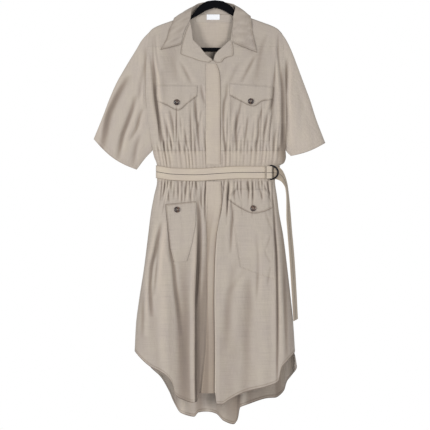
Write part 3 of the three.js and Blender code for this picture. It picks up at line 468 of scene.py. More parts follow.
horn, horn_shader = new_material("dark_horn")
horn_coords = horn.node_tree.nodes.new("ShaderNodeTexCoord")
horn_cloud = stretched_noise(horn.node_tree, horn_coords.outputs["Object"], (160, 160, 60), 3.0)
horn_tone = ramp(horn.node_tree, horn_cloud, [(0.35, (0.016, 0.011, 0.012)), (0.52, (0.045, 0.026, 0.022)),
                                              (0.68, (0.16, 0.088, 0.055))])
horn.node_tree.links.new(horn_tone, horn_shader.inputs["Base Color"])
horn_shader.inputs["Roughness"].default_value = 0.28
horn_shader.inputs["Coat Weight"].default_value = 0.3
print("noisy finishes:", flock.name, horn.name)


# %% Dressing a piece
def dress(piece, material, nodes=()):
    """Gives a piece its material, the body that it rides on and the nodes that it stands for."""
    piece.data.materials.append(material)
    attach(piece, "root")
    if nodes:
        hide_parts(*nodes)
    return piece


def declare(piece, size=None):
    """Takes the cut sizes off the piece: its longest row and column, unless a size is given, and its area. Nothing
    keeps them.
    """
    width, length, area = piece["cut_mm"]
    del piece["cut_mm"]
    size = size or (round(width * MM, 3), round(length * MM, 3))


# %% [markdown]
# ## The dress's main form
# The body is a flat hung pillow of cloth: a front and a back that meet at the side seams. Each face is a height
# above the middle plane. The tables are its real sizes: how wide it is at each drop below the hanger's top,
# how full it hangs, and where the shoulder, the open neck and the hems run.

# %% Sizes of the dress
HANGER_TOP = -72.0
CLOTH = 0.7
SEAM = 0.2
LEAST = 0.2
YOKE_SEAM, WAIST_TOP, WAIST_BOTTOM, SIDE_NOTCH = 141.0, 453.0, 543.0, 1050.0
CORNER = {"left": 94.0, "right": 101.0}
NECK = {"left": (-73.0, 40.1), "right": (72.0, 39.7), "depth": 11.0, "scoop": 2.0}

SIDES = columns(("down", "left", "right", "edge"), [
    (94, -195, 200, 12), (141, -201, 205, 13), (200, -206, 208, 14), (270, -207, 211, 15), (356, -201, 213, 14),
    (399, -194, 213, 11), (430, -190, 213, 7), (442, -188, 213, 4), (451, -187, 212, 0.2), (470, -183, 213, 0.2),
    (488, -176, 208, 0.2), (499, -174, 192, 0.2), (543, -174, 180, 0.2), (588, -183, 186, 0.2),
    (636, -192, 192, 0.2), (708, -201, 205, 0.2), (804, -213, 217, 0.2), (900, -228, 228, 0.2),
    (972, -237, 235, 0.2), (1050, -241, 240, 0.2),
])
FULLNESS = columns(("down", "front", "back"), [
    (30, 14, 13), (100, 16, 15), (200, 21, 18), (300, 23, 19), (400, 21, 18), (453, 18, 16), (500, 16, 15),
    (543, 17, 16), (600, 22, 20), (700, 29, 26), (850, 36, 32), (1050, 43, 38), (1280, 48, 42),
])
SHOULDER = columns(("reach", "down"), [
    (0, 15), (50, 30), (75, 41), (104, 53), (121, 59), (143, 67), (170, 77), (187, 86), (202, 101),
])
FRONT_EDGE = columns(("down", "left", "right"), [
    (39, -73, 72), (50, -72, 57), (66, -75, 52.5), (75, -72, 52.5), (99, -67.5, 50), (120, -66, 47), (132, -55, 34),
    (143, -45, 22), (155, -36, 8), (166, -26, 0), (180, -9, -4), (186, -6.15, -5.85), (453, -6.15, -5.85),
])
CENTRE = columns(("down", "x"), [(543, -6), (700, -9), (804, -13), (1050, -15), (1210, -20)])
FRONT_HEM = columns(("x", "down"), [
    (-241, 1052), (-214, 1078), (-193, 1095), (-151, 1118), (-126, 1147), (-118, 1179), (-101, 1191), (-65, 1202),
    (-54, 1200), (-44, 1173), (0, 1173), (5, 1206), (21, 1207), (38, 1197), (70, 1179), (106, 1166), (145, 1157),
    (170, 1149), (187, 1140), (197, 1099), (214, 1080), (240, 1054),
])
BACK_HEM = columns(("x", "down"), [
    (-241, 1052), (-214, 1080), (-193, 1108), (-166, 1133), (-138, 1181), (-126, 1210), (-103, 1244), (-63, 1256),
    (-50, 1243), (-23, 1240), (3, 1247), (27, 1269), (56, 1279), (69, 1264), (76, 1228), (106, 1216), (164, 1199),
    (183, 1198), (198, 1189), (210, 1174), (217, 1149), (227, 1132), (240, 1105),
])

side_edge = {side: smooth(SIDES["down"], SIDES[side]) for side in ("left", "right")}
edge_depth = straight(SIDES["down"], SIDES["edge"])
fullness = {FRONT: smooth(FULLNESS["down"], FULLNESS["front"]), BACK: smooth(FULLNESS["down"], FULLNESS["back"])}
shoulder = smooth(SHOULDER["reach"], SHOULDER["down"])
front_edge = {side: smooth(FRONT_EDGE["down"], FRONT_EDGE[side]) for side in ("left", "right")}
centre = smooth(CENTRE["down"], CENTRE["x"])
hem = {FRONT: smooth(FRONT_HEM["x"], FRONT_HEM["down"]), BACK: smooth(BACK_HEM["x"], BACK_HEM["down"])}
print("width at the waist:", float(side_edge["right"](543.0) - side_edge["left"](543.0)), "mm")

# %% Height of a face above the middle plane
FOLD_RADIUS = 6.0
SWELL = 55.0


def neck_rise(x):
    """1 at the middle of the neck and 0 at its ends, as a half circle."""
    (left, _), (right, _) = NECK["left"], NECK["right"]
    return np.sqrt(np.maximum(0, 1 - ((x - (left + right) / 2) / ((right - left) / 2)) ** 2))


def top_edge(face, x):
    """Drop of the face's top edge: the shoulder line, and on the back the neck seam between its ends."""
    (left, left_down), (right, right_down) = NECK["left"], NECK["right"]
    seam = np.interp(x, [left, right], [left_down, right_down]) + NECK["scoop"] * neck_rise(x)
    inside = (x > left) & (x < right) & (face == BACK)
    return np.where(inside, seam, shoulder(np.abs(x)))


def smooth_depth(face, x, down):
    """Pillow: the edge's height plus a rounding away from the side seam, swelling in below the shoulder fold.

    Beside the armholes the rounding is sin(pi s / 2), and from the waist down it is a quarter ellipse. The fold over
    the hanger is a quarter circle, and the rest swells in as 1 - exp(-below / SWELL)."""
    edge_x = np.where(x < 0, side_edge["left"](down), side_edge["right"](down))
    waist = np.clip((down - 380) / 70, 0, 1)
    share = np.clip(np.abs(edge_x - x) / mix(70, 45, waist), 0, 1)
    rounding = mix(np.sin(share * np.pi / 2), np.sqrt(1 - (1 - share) ** 2), waist)
    edge = edge_depth(down)
    base = mix(edge, fullness[face](down), rounding)
    below = np.maximum(0, down - top_edge(face, x))
    ridge = FOLD_RADIUS * np.sqrt(1 - (1 - np.minimum(below / FOLD_RADIUS, 1)) ** 2)
    neck = NECK["depth"] * neck_rise(x) if face == BACK else 0
    start = np.maximum(LEAST, np.maximum(ridge, neck))
    swell = np.maximum(base - start, 0) * (1 - np.exp(-below / SWELL))
    return start + swell + np.minimum(base - start, 0) * np.clip(below / (3 * SWELL), 0, 1)


print("front stands", float(smooth_depth(FRONT, np.array(0.0), np.array(900.0)).round(1)), "mm out at the skirt")

# %% [markdown]
# ## Creases
# Crisp cotton keeps every fold it is given. Each main crease is listed: a line down the cloth, how deep it is,
# how wide, and which side of it stands up. A valley is a bell curve across its line, with a lower bell beside it for
# the raised lip. Hidden sides get creases of the same kind. A cloth simulation would fold somewhere else each time,
# so the listed creases are the better likeness.

# %% Main creases of the front
# Each row: depth, width, side of the raised lip (-1 left, 1 right, 0 none), then points (x, down) along the line
BODICE_CREASES = [
    (6.5, 7, 1, [(-201, 141), (-192, 189), (-185, 232), (-178, 300), (-167, 363), (-159, 414), (-149, 446)]),
    (3.2, 5, 1, [(-188, 105), (-185, 180), (-176, 249), (-174, 285)]),
    (2.2, 5, 1, [(-181, 100), (-176, 162), (-166, 222)]),
    (3.6, 6, 1, [(-160, 320), (-145, 388), (-126, 452)]),
    (2.8, 5, -1, [(-135, 330), (-126, 380), (-118, 435)]),
    (2.2, 4, 1, [(-104, 350), (-101, 395), (-98, 440)]),
    (2.4, 4.5, -1, [(-92, 378), (-85, 440)]),
    (4.2, 6, 1, [(-62, 290), (-57, 345), (-52, 380), (-50, 429), (-46, 456)]),
    (2.2, 4.5, -1, [(-40, 330), (-49, 384)]),
    (2.4, 5.5, 1, [(-43, 255), (-38, 285), (-30, 315)]),
    (2.2, 7, 1, [(-105, 185), (-85, 224), (-70, 256)]),
    (3.4, 6, 1, [(36, 245), (34, 282), (27, 311), (24, 345), (22, 396), (26, 423), (31, 454)]),
    (4.0, 6, -1, [(80, 300), (66, 363), (61, 396), (57, 446)]),
    (2.6, 4.5, 1, [(76, 372), (66, 423), (66, 454)]),
    (2.4, 4.5, -1, [(98, 350), (92, 400), (88, 448)]),
    (3.6, 6, -1, [(141, 325), (130, 372), (130, 405), (116, 452)]),
    (3.4, 5, 1, [(160, 318), (153, 363), (144, 414), (142, 448)]),
    (2.4, 5, -1, [(171, 296), (161, 350)]),
    (3.0, 6, -1, [(178, 215), (173, 294), (168, 390)]),
    (6.5, 6, -1, [(198, 215), (203, 302), (203, 380), (203, 447)]),
    (2.4, 7, -1, [(123, 164), (97, 212), (78, 250)]),
    (1.3, 8, -1, [(156, 100), (137, 153), (122, 245)]),
    (3.2, 5, -1, [(190, 92), (189, 155), (194, 207), (201, 265)]),
    (1.8, 4, 1, [(181, 165), (178, 247)]),
    (0.7, 10, 1, [(-128, 168), (-121, 210), (-117, 250)]),
    (1.5, 8, -1, [(70, 190), (52, 230), (40, 262)]),
]
SKIRT_CREASES = [
    (3.0, 5, 1, [(-149, 546), (-158, 604)]),
    (2.2, 4.5, -1, [(-137, 566), (-143, 616)]),
    (2.4, 4, 1, [(-122, 546), (-124, 600)]),
    (2.6, 4, -1, [(-92, 546), (-90, 584)]),
    (5.5, 7, 1, [(-57, 546), (-52, 597), (-47, 690), (-49, 777), (-53, 846), (-59, 930)]),
    (2.6, 4, -1, [(-40, 546), (-42, 597), (-37, 632)]),
    (8.5, 9, -1, [(-158, 660), (-178, 750), (-192, 810), (-194, 861), (-189, 950)]),
    (3.5, 6, 1, [(-164, 723), (-175, 810), (-182, 890)]),
    (-5.0, 19, 0, [(-150, 640), (-154, 800), (-152, 960), (-150, 1130)]),
    (5.0, 7, 0, [(-130, 620), (-135, 720), (-131, 765), (-124, 800), (-120, 846), (-109, 930), (-100, 1010)]),
    (4.2, 17, 0, [(-112, 860), (-98, 970), (-91, 1140), (-88, 1240)]),
    (-3.0, 14, 0, [(-72, 780), (-70, 960), (-68, 1180)]),
    (2.6, 4.5, 1, [(20, 546), (19, 600), (12, 660)]),
    (2.6, 4.5, 1, [(44, 545), (37, 603)]),
    (1.6, 5, -1, [(72, 545), (64, 567), (48, 596)]),
    (3.2, 6, 1, [(47, 596), (53, 639), (49, 690), (46, 760)]),
    (3.4, 14, 1, [(58, 780), (40, 900), (30, 1050)]),
    (6.0, 4.6, 0, [(153, 545), (170, 591), (176, 640), (179, 700), (183, 768), (185, 846), (186, 960), (184, 1150)]),
    (2.6, 4.5, 1, [(142, 545), (155, 576)]),
    (3.0, 7, -1, [(203, 700), (208, 830), (212, 980), (214, 1075)]),
    (3.6, 16, -1, [(104, 830), (99, 960), (93, 1090), (90, 1200)]),
    (2.4, 6, 1, [(122, 690), (128, 790), (123, 900)]),
    (-3.2, 22, 0, [(140, 850), (140, 1000), (138, 1160)]),
    (2.8, 7, 1, [(-205, 800), (-214, 900), (-218, 1010)]),
    (2.2, 6, -1, [(-100, 640), (-96, 700), (-99, 760)]),
    (1.5, 5.0, 1, [(150, 632), (158, 660), (171, 694)]),
    (1.4, 4.4, -1, [(166, 700), (160, 722), (150, 748)]),
    (1.3, 4.6, 1, [(146, 744), (155, 770), (168, 790)]),
    (1.2, 11.0, 1, [(88, 806), (66, 838), (40, 880)]),
    (1.2, 5.0, -1, [(166, 796), (160, 824), (156, 856)]),
    (2.4, 3.4, 1, [(-28, 548), (-31, 600), (-29, 668)]),
    (2.6, 3.6, -1, [(-70, 548), (-72, 590), (-69, 640)]),
]
print("main creases of the front:", len(BODICE_CREASES) + len(SKIRT_CREASES))

# %% Creases of the back, of the same kind
BACK_CREASES = [
    (5.5, 8, 1, [(-178, 140), (-172, 240), (-166, 340), (-150, 446)]),
    (2.6, 6, -1, [(-190, 120), (-186, 210), (-176, 300)]),
    (2.2, 6, 1, [(-130, 300), (-122, 380), (-112, 450)]),
    (3.8, 8, 1, [(-70, 190), (-64, 300), (-58, 450)]),
    (2.0, 5, -1, [(-30, 330), (-26, 400), (-28, 452)]),
    (1.8, 9, 1, [(-20, 130), (-12, 200), (-2, 270)]),
    (2.4, 5, -1, [(22, 320), (20, 390), (24, 450)]),
    (3.8, 8, -1, [(62, 200), (58, 310), (54, 450)]),
    (2.6, 6, 1, [(118, 290), (112, 370), (104, 450)]),
    (5.0, 8, -1, [(186, 150), (178, 260), (172, 350), (158, 446)]),
    (2.4, 6, 1, [(196, 130), (194, 200), (188, 300)]),
    (3.0, 5, 1, [(-140, 546), (-148, 640)]),
    (3.0, 5, -1, [(-112, 546), (-108, 610)]),
    (8.5, 12, 1, [(-150, 560), (-162, 800), (-168, 1010), (-170, 1150)]),
    (10.0, 13, -1, [(-84, 590), (-90, 850), (-94, 1080), (-98, 1330)]),
    (-3.5, 18, 0, [(-126, 640), (-128, 850), (-130, 1120)]),
    (3.0, 5, 1, [(-52, 546), (-50, 640)]),
    (8.5, 13, 1, [(-10, 555), (-15, 800), (-18, 1040), (-22, 1330)]),
    (-3.0, 18, 0, [(-52, 660), (-54, 900), (-56, 1180)]),
    (3.2, 5, -1, [(30, 546), (34, 650)]),
    (11.0, 13, -1, [(70, 580), (79, 850), (84, 1080), (90, 1330)]),
    (-3.5, 18, 0, [(36, 660), (38, 900), (36, 1200)]),
    (3.0, 5, 1, [(100, 546), (106, 630)]),
    (8.5, 12, -1, [(140, 560), (154, 800), (164, 1000), (172, 1160)]),
    (3.0, 8, 1, [(200, 720), (206, 880), (210, 1060)]),
    (3.0, 8, -1, [(-206, 740), (-212, 900), (-216, 1040)]),
]
print("main creases of the back:", len(BACK_CREASES))

# %% Small creases, and the depth of them all
SMALL_CREASES = {"front above": (30, 300, 452, -1), "front below": (36, 545, 600, 1),
                 "back above": (50, 280, 452, -1), "back below": (44, 545, 620, 1)}
rng = np.random.default_rng(5)


def small_creases(name):
    """Short thin creases that run from a waist seam into the cloth, each with its own place, length, lean and depth."""
    count, low, high, way = SMALL_CREASES[name]
    rows = []
    for k in range(count):
        x = mix(-172, 190 if way < 0 else 176, (k + rng.uniform(0.1, 0.9)) / count)
        seam = high if way < 0 else low
        far = seam + way * rng.uniform(45, 150 if way < 0 else 110) * rng.choice([0.6, 1.0, 1.2])
        lean = rng.uniform(-9, 9) + x * (0.05 if way < 0 else 0.02)
        line = [(x, seam - way * 14), (x + lean * 0.4, (seam + far) / 2), (x + lean, far)]
        line = sorted(line, key=lambda point: point[1])
        rows.append((rng.uniform(0.8, 2.3), rng.uniform(2.4, 4.4), rng.choice([-1, 1]), line))
    return rows


LIP_HEIGHT, LIP_PLACE, LIP_WIDTH = 0.42, 1.9, 1.35
CREASES = {
    FRONT: BODICE_CREASES + SKIRT_CREASES + small_creases("front above") + small_creases("front below"),
    BACK: BACK_CREASES + small_creases("back above") + small_creases("back below"),
}


def crease_depth(rows, x, down):
    """Sum over the creases of depth * sin(pi s)^0.6 * (exp(-t^2) - lip), where s runs from 0 to 1 along the line and t
    is the distance across from it in widths. The lip is a lower bell beside the valley."""
    x, down = np.broadcast_arrays(np.asarray(x, float), np.asarray(down, float))
    total = np.zeros(x.shape)
    for depth, width, lip, line in rows:
        xs, downs = np.array(line, float).T
        near = (down > downs[0]) & (down < downs[-1])
        near &= (x > xs.min() - 5 * width) & (x < xs.max() + 5 * width)
        if not near.any():
            continue
        here = down[near]
        rise = np.sin(np.pi * (here - downs[0]) / (downs[-1] - downs[0])) ** 0.6
        t = (x[near] - smooth(downs, xs)(here)) / width
        bell = np.exp(-(t**2))
        if lip:
            bell = bell - LIP_HEIGHT * np.exp(-(((t - lip * LIP_PLACE) / LIP_WIDTH) ** 2))
        total[near] += depth * rise * bell
    return total


print("creases:", len(CREASES[FRONT]), "on the front,", len(CREASES[BACK]), "on the back")

# %% [markdown]
# ## Gathers
# The waist is drawn in by a gathered seam above and below the belt. Each gather is a short pleat that starts at the
# seam and dies away, no two alike. The pleats keep their place as a share of the seam's width, so they fan out
# as the cloth widens.

# %% Gathers at the two waist seams
GATHER_COUNT = {FRONT: 35, BACK: 34}
GATHER_DEPTH = 2.3
rng = np.random.default_rng(11)


def make_gathers(count):
    """Random gathers: place as a share of the width, depth, width in shares, length each way from the seam, lean."""
    place = (np.arange(count) + 0.5 + rng.uniform(-0.28, 0.28, count)) / count
    return columns(("place", "depth", "width", "above", "below", "lean"), np.stack([
        place,
        GATHER_DEPTH * rng.uniform(0.55, 1.35, count),
        rng.uniform(0.24, 0.42, count) / count,
        rng.choice([0.6, 0.9, 1.3, 2.3], count) * rng.uniform(22, 46, count),
        rng.choice([0.8, 1.2, 1.5, 2.6], count) * rng.uniform(18, 44, count),
        rng.uniform(-0.011, 0.011, count),
    ], -1))


GATHERS = {face: make_gathers(GATHER_COUNT[face]) for face in (FRONT, BACK)}


gather_left = smooth([300, 453, 499, 543, 650], [-207, -187, -179, -175, -191])
gather_right = smooth([300, 453, 499, 543, 650], [213, 205, 198, 187, 193])


def gather_depth(face, x, down):
    """Sum of depth * fade * exp(-((share - place) / width)^2). The fade is 1 between the waist seams and falls off
    over each gather's own length above and below them."""
    left, right = gather_left(down), gather_right(down)
    share = (x - left) / (right - left)
    total = np.zeros(np.broadcast(x, down).shape)
    above = np.maximum(WAIST_TOP - down, 0)
    below = np.maximum(down - WAIST_BOTTOM, 0)
    near = (above < 150) & (below < 130)
    if not near.any():
        return total
    share, above, below = share[near], above[near], below[near]
    part = np.zeros(share.shape)
    g = GATHERS[face]
    for place, depth, width, up, low, lean in zip(*(g[k] for k in ("place", "depth", "width", "above", "below", "lean"))):
        fade = np.exp(-((above / up) ** 2)) * np.exp(-((below / low) ** 2))
        t = (share - place - lean * np.tanh((above - below) / 60)) / width
        part += depth * fade * (np.exp(-(t**2)) - 0.35 * np.exp(-((np.abs(t) - 1.9) ** 2)))
    total[near] = part
    return total


print("gathers:", {("front" if k == FRONT else "back"): len(v["place"]) for k, v in GATHERS.items()})

# %% Outlines of the laid pieces, and how flat they press the cloth
# Rows of a piece laid on the front: left x and down, then right x and down, from its top to its bottom
PLACKETS = {
    "placket_bodice": [(-27, 194, 4, 194), (-27, 216, 12, 216), (-27, 244, 15, 244), (-27, 350, 16.5, 350),
                       (-28, 453, 16.5, 453), (-28, 494, 17, 494)],
    "placket_skirt": [(-28, 545, 18, 545), (-27, 605, 21, 605), (-26, 674, 9, 674), (-24, 719, 3, 719),
                      (-24, 804, -1.5, 804), (-24, 900, -3, 900), (-30, 1050, -1, 1050), (-43, 1174, -2, 1174)],
}
POCKETS = {
    "chest_pocket_left": [(-172, 262, -57, 262), (-171, 340, -57, 340), (-168, 424, -58, 424)],
    "chest_pocket_right": [(46, 262, 170, 268), (46, 340, 167, 340), (45, 424, 162, 424)],
    "hip_pocket_left": [(-148, 613, -57, 604), (-141, 690, -60, 678), (-134, 744, -70, 732), (-123, 786, -84, 782)],
    "hip_pocket_right": [(48, 600, 170, 600), (58, 690, 174, 690), (75, 801, 177, 838)],
}
CALM = {"placket_bodice": 0.93, "placket_skirt": 0.93, "hip_pocket_left": 0.75, "hip_pocket_right": 0.3}


def laid_press(x, down):
    """Share by which the laid pieces hold the cloth flat: 1 between a piece's edges, with soft sides, times its calm."""
    total = np.zeros(x.shape)
    for name, calm in CALM.items():
        left_x, left_down, right_x, right_down = np.array({**PLACKETS, **POCKETS}[name], float).T
        left, right = np.interp(down, left_down, left_x), np.interp(down, right_down, right_x)
        inside = step(x - left, -2, 5) * (1 - step(x - right, -5, 2))
        level = mix(left_down[[0, -1]][:, None], right_down[[0, -1]][:, None], 0.5)
        inside = inside * step(down - level[0], -8, 2) * (1 - step(down - level[1], -2, 10))
        total = np.maximum(total, calm * inside)
    return total


def belt_press(down):
    """1 where the belt lies on the waistband and 0 clear of it."""
    return step(down, 492, 500) * (1 - step(down, 541, 549))


print("laid pieces:", [*PLACKETS, *POCKETS])


# %% Slow waves, the lap, the groove and all the relief together
def sway(face, x, down):
    """Slow waves that no listed crease covers: three sines that cross at different slants."""
    turn = 0.9 if face == FRONT else 2.3
    slow = np.sin(x / 31 + down / 83 + turn) + 0.7 * np.sin(x / 19 - down / 57 + 2 * turn)
    fine = 0.45 * np.sin(x / 8.7 + down / 41 + 3 * turn) + 0.3 * np.sin(x / 6.1 - down / 29)
    return (0.55 * slow + 0.4 * fine) * step(down, 110, 240)


GROOVE = smooth([640, 690, 777, 846, 930, 1120, 1210], [-50, -50, -52, -55, -57, -57, -56])
STRIP_RIGHT = smooth([543, 605, 674, 719, 804, 900, 1050, 1174, 1210], [18, 21, 9, 3, -1.5, -3, -1, -2, 0])


def lap_ridge(x, down):
    """The right front laps over the strip on the skirt: a steep edge at the strip, dying away over 30 mm."""
    past = x - STRIP_RIGHT(down)
    return 3.6 * step(past, -1.5, 3.5) * np.exp(-np.maximum(past, 0) / 26) * step(down, 640, 780)


def groove_fall(x, down):
    """The left front folds back beside the strip: a steep wall 3.5 mm wide, then a floor that climbs over 26 mm."""
    past = x - GROOVE(down)
    bell = np.exp(-((past / np.where(past < 0, 3.5, 26)) ** 2))
    return 9.5 * bell * step(down, 640, 860)


def relief_depth(face, x, down):
    """Creases, gathers, sway and the lapped edge together. All of them die away within 26 mm of the side seam, so
    that front and back still meet there."""
    x, down = np.broadcast_arrays(np.asarray(x, float), np.asarray(down, float))
    edge_x = np.where(x < 0, side_edge["left"](down), side_edge["right"](down))
    inside = np.clip(np.abs(edge_x - x) / 26, 0, 1)
    relief = -crease_depth(CREASES[face], x, down) + sway(face, x, down)
    relief = relief * (1 - 0.85 * belt_press(down))
    band = step(down, WAIST_TOP - 4, WAIST_TOP + 6) * (1 - step(down, WAIST_BOTTOM - 2, WAIST_BOTTOM + 4))
    relief = relief - gather_depth(face, x, down) * (1 - 0.5 * band) * (1 - 0.4 * belt_press(down))
    if face == FRONT:
        relief = (relief - groove_fall(x, down)) * (1 - laid_press(x, down)) + lap_ridge(x, down)
    below = np.clip((down - top_edge(face, x)) / 25, 0, 1)
    return relief * inside * below


def cloth_depth(face, x, down):
    """Height of the finished cloth: the pillow plus its relief."""
    return np.maximum(smooth_depth(face, x, down) + relief_depth(face, x, down), LEAST)


print("groove: x", np.round(GROOVE(np.array([700.0, 900.0, 1100.0])), 1), "at 700, 900 and 1100 mm down")

# %% Hollows, and the painted shade of each fold
# Painted shade in the broad hollows, darker towards the hem and below the shoulders, and painted light where the share
# is below 0:
# share, width, then points (x, down) along the middle
PAINTED_HOLLOWS = {
    FRONT: [
        (0.30, 30, [(-98, 740), (-92, 900), (-85, 1080), (-84, 1300)]),
        (0.44, 16, [(-36, 560), (-38, 760), (-39, 950), (-39, 1260)]),
        (0.10, 16, [(-196, 660), (-214, 860), (-224, 1080)]),
        (0.24, 23, [(194, 540), (206, 700), (211, 880), (214, 1130)]),
        (0.40, 7.5, [(204, 200), (205.5, 330), (207, 500)]),
        (0.34, 12, [(200, 370), (201, 430), (203, 510)]),
        (0.42, 4.5, [(-182, 250), (-166, 384), (-160, 420), (-146, 480)]),
        (0.11, 165, [(-20, 840), (-20, 1120), (-20, 1400)]),
        (0.13, 13, [(156, 600), (168, 700), (172, 830)]),
        (-0.12, 14, [(-150, 640), (-155, 800), (-154, 960), (-150, 1130)]),
        (0.08, 30, [(90, 760), (76, 900), (60, 1080)]),
        (0.12, 22, [(-130, 120), (-132, 180), (-120, 250)]),
        (0.12, 24, [(130, 110), (128, 180), (116, 260)]),
    ],
    BACK: [
        (0.18, 24, [(-120, 640), (-124, 850), (-128, 1200)]),
        (0.14, 22, [(52, 640), (58, 880), (64, 1280)]),
        (0.12, 24, [(-130, 130), (-126, 220), (-112, 330)]),
        (0.12, 24, [(126, 130), (122, 220), (108, 330)]),
    ],
}


# Painted shade on the inner side of the back where the hem shows it, and painted light where the share is below 0, as
# inside the neck
INSIDE_PAINTED_LIGHT_AND_SHADE = [
    (-0.36, 95, [(0, 30), (0, 120), (0, 280)]),
    (0.24, 190, [(150, 1060), (150, 1190), (150, 1300)]),
    (0.22, 10, [(-52, 1100), (-50, 1180), (-50, 1290)]),
    (-0.22, 15, [(-14, 1120), (-12, 1190), (-10, 1280)]),
    (0.35, 5, [(74, 1100), (72, 1180), (70, 1290)]),
    (0.16, 18, [(48, 1130), (50, 1200), (52, 1300)]),
    (0.22, 9, [(188, 1060), (190, 1130), (192, 1230)]),
    (-0.45, 13, [(232, 1020), (229, 1090), (222, 1190)]),
]


def painted_hollow_shade(rows, x, down):
    """Sum of share * sin(pi s)^0.5 * exp(-t^4), with s along each hollow and t across it in widths."""
    total = np.zeros(x.shape)
    for share, width, line in rows:
        xs, downs = np.array(line, float).T
        along = np.sin(np.pi * np.clip((down - downs[0]) / (downs[-1] - downs[0]), 0, 1)) ** 0.5
        total += share * along * np.exp(-(((x - smooth(downs, xs)(down)) / width) ** 4))
    return total


def painted_fold_shade(face, x, down):
    """Painted shade of a point, by how deep in a fold it lies: the mean relief 3.4 mm and 14 mm to either side, less
    its own relief, and the painted shade of the broad hollows."""
    x, down = np.broadcast_arrays(np.asarray(x, float), np.asarray(down, float))
    here = relief_depth(face, x, down)
    narrow = (relief_depth(face, x - 3.4, down) + relief_depth(face, x + 3.4, down)) / 2 - here
    broad = (relief_depth(face, x - 14, down) + relief_depth(face, x + 14, down)) / 2 - here
    deep = 0.27 * narrow + 0.045 * broad + painted_hollow_shade(PAINTED_HOLLOWS[face], x, down)
    return np.clip(deep * (1 - 0.8 * laid_press(x, down) * (face == FRONT)), -0.5, 1)


def place(face, x, down, depth):
    """Points of a face in mm."""
    return np.stack(np.broadcast_arrays(x, face * depth, HANGER_TOP - down), -1)


print("hollows:", sum(len(rows) for rows in PAINTED_HOLLOWS.values()) + len(INSIDE_PAINTED_LIGHT_AND_SHADE))

# %% [markdown]
# ## Panels of the body
# Yokes, bodice, waistband and skirt are cut apart as a maker would cut them. Each is a grid between its own edges.
# The cloth is thicker along the hem, where it is turned twice.

# %% Build one panel
outlines = {}


def face_panel(name, face, x, down, material=cotton_body, thickness=CLOTH, seam_shade_and_thread=0.0):
    """Shell of one panel: the outer grid is the cloth's height, the inner one lies a thickness inside.
    Painted shade darkens it in its folds and along its stitch lines and hem edge. On the inner side a valley is a
    ridge."""
    outer = place(face, x, down, cloth_depth(face, x, down))
    inner = offset(outer, thickness, (0, -face, 0))
    inner[..., 1] = face * np.maximum(face * inner[..., 1], 0.08)
    fold = painted_fold_shade(face, x, down)
    # Painted light and shade on the inside of the back, where the neck and the hem show it
    extra_painted_shade = painted_hollow_shade(INSIDE_PAINTED_LIGHT_AND_SHADE, x, down) if face == BACK else 0
    piece = shell(name, outer, inner, fold=fold + seam_shade_and_thread, painted_shade_inside=extra_painted_shade + seam_shade_and_thread - 0.6 * fold)
    outlines[name.removesuffix("_cloth")] = outer
    return dress(piece, material, [name.removesuffix("_cloth")])


def to_shoulder(face, x, down, share, fade):
    """Rows bent to follow the shoulder: the first lies on the top edge, and the bend fades away below it."""
    ends = mix(top_edge(face, x[:, :1]), top_edge(face, x[:, -1:]), share)
    down = down + (top_edge(face, x) - ends) * fade[:, None]
    near = np.clip(1 - (down - down[:1]) / 8, 0, 1)
    return down + (top_edge(face, x[:1]) - down[:1]) * near


def half_grid(side, side_x, side_down, front_x, front_down, across):
    """Grid between the side seam and the centre front, in order from left to right."""
    u = spread(across, 0.35)[None, :]
    a = (side_x[:, None], side_down[:, None])
    b = (front_x[:, None], front_down[:, None])
    if side == "right":
        a, b = b, a
    return mix(a[0], b[0], u), mix(a[1], b[1], u), u


# %% Yokes and bodice
FOLD_ROWS = FOLD_RADIUS * (1 - np.cos(np.linspace(0, np.pi / 2, 9)))
for side in ("left", "right"):
    v = np.concatenate([FOLD_ROWS / (YOKE_SEAM - CORNER[side]), np.linspace(0.17, 1, 28)])
    side_down = mix(CORNER[side], YOKE_SEAM, v)
    front_down = mix(NECK[side][1], YOKE_SEAM, v)
    x, down, u = half_grid(side, side_edge[side](side_down), side_down, front_edge[side](front_down), front_down, 64)
    down = to_shoulder(FRONT, x, down, u, np.sqrt(1 - v))
    yoke = face_panel(f"front_yoke_{side}_cloth", FRONT, x, down)
    declare(yoke)

    level = np.concatenate([np.linspace(YOKE_SEAM + SEAM, 330, 46), np.linspace(333, WAIST_TOP - SEAM, 44)])
    x, down, u = half_grid(side, side_edge[side](level), level, front_edge[side](level), level, 118)
    bodice = face_panel(f"bodice_front_{side}_cloth", FRONT, x, down)
    declare(bodice)

v = np.concatenate([FOLD_ROWS, np.linspace(7.6, 47, 22), 47 + np.linspace(4, WAIST_TOP - SEAM - YOKE_SEAM, 84)])
left_down = np.where(v <= 47, CORNER["left"] + v, YOKE_SEAM + v - 47)
right_down = np.where(v <= 47, mix(CORNER["right"], YOKE_SEAM, v / 47), YOKE_SEAM + v - 47)
u = spread(230, 0.3)[None, :]
x = mix(side_edge["left"](left_down)[:, None], side_edge["right"](right_down)[:, None], u)
down = mix(left_down[:, None], right_down[:, None], u)
down = to_shoulder(BACK, x, down, u, np.clip(1 - (v / 60) ** 2, 0, 1))
back = face_panel("bodice_back_cloth", BACK, x, down)
declare(back)

# %% Waistband
for name, face, side in (("front_left", FRONT, "left"), ("front_right", FRONT, "right"), ("back", BACK, None)):
    level = np.linspace(WAIST_TOP + SEAM, WAIST_BOTTOM - SEAM, 30)
    if side:
        middle = np.full(level.shape, front_edge[side](WAIST_TOP))
        x, down, u = half_grid(side, side_edge[side](level), level, middle, level, 118)
    else:
        u = spread(230, 0.3)[None, :]
        x = mix(side_edge["left"](level)[:, None], side_edge["right"](level)[:, None], u)
        down = np.broadcast_to(level[:, None], x.shape)
    band = face_panel(f"waistband_{name}_cloth", face, x, down, cotton_waist)
    declare(band)


# %% Skirt
HEM_TURN = 8.0
SIDE_BULGE = 6.0


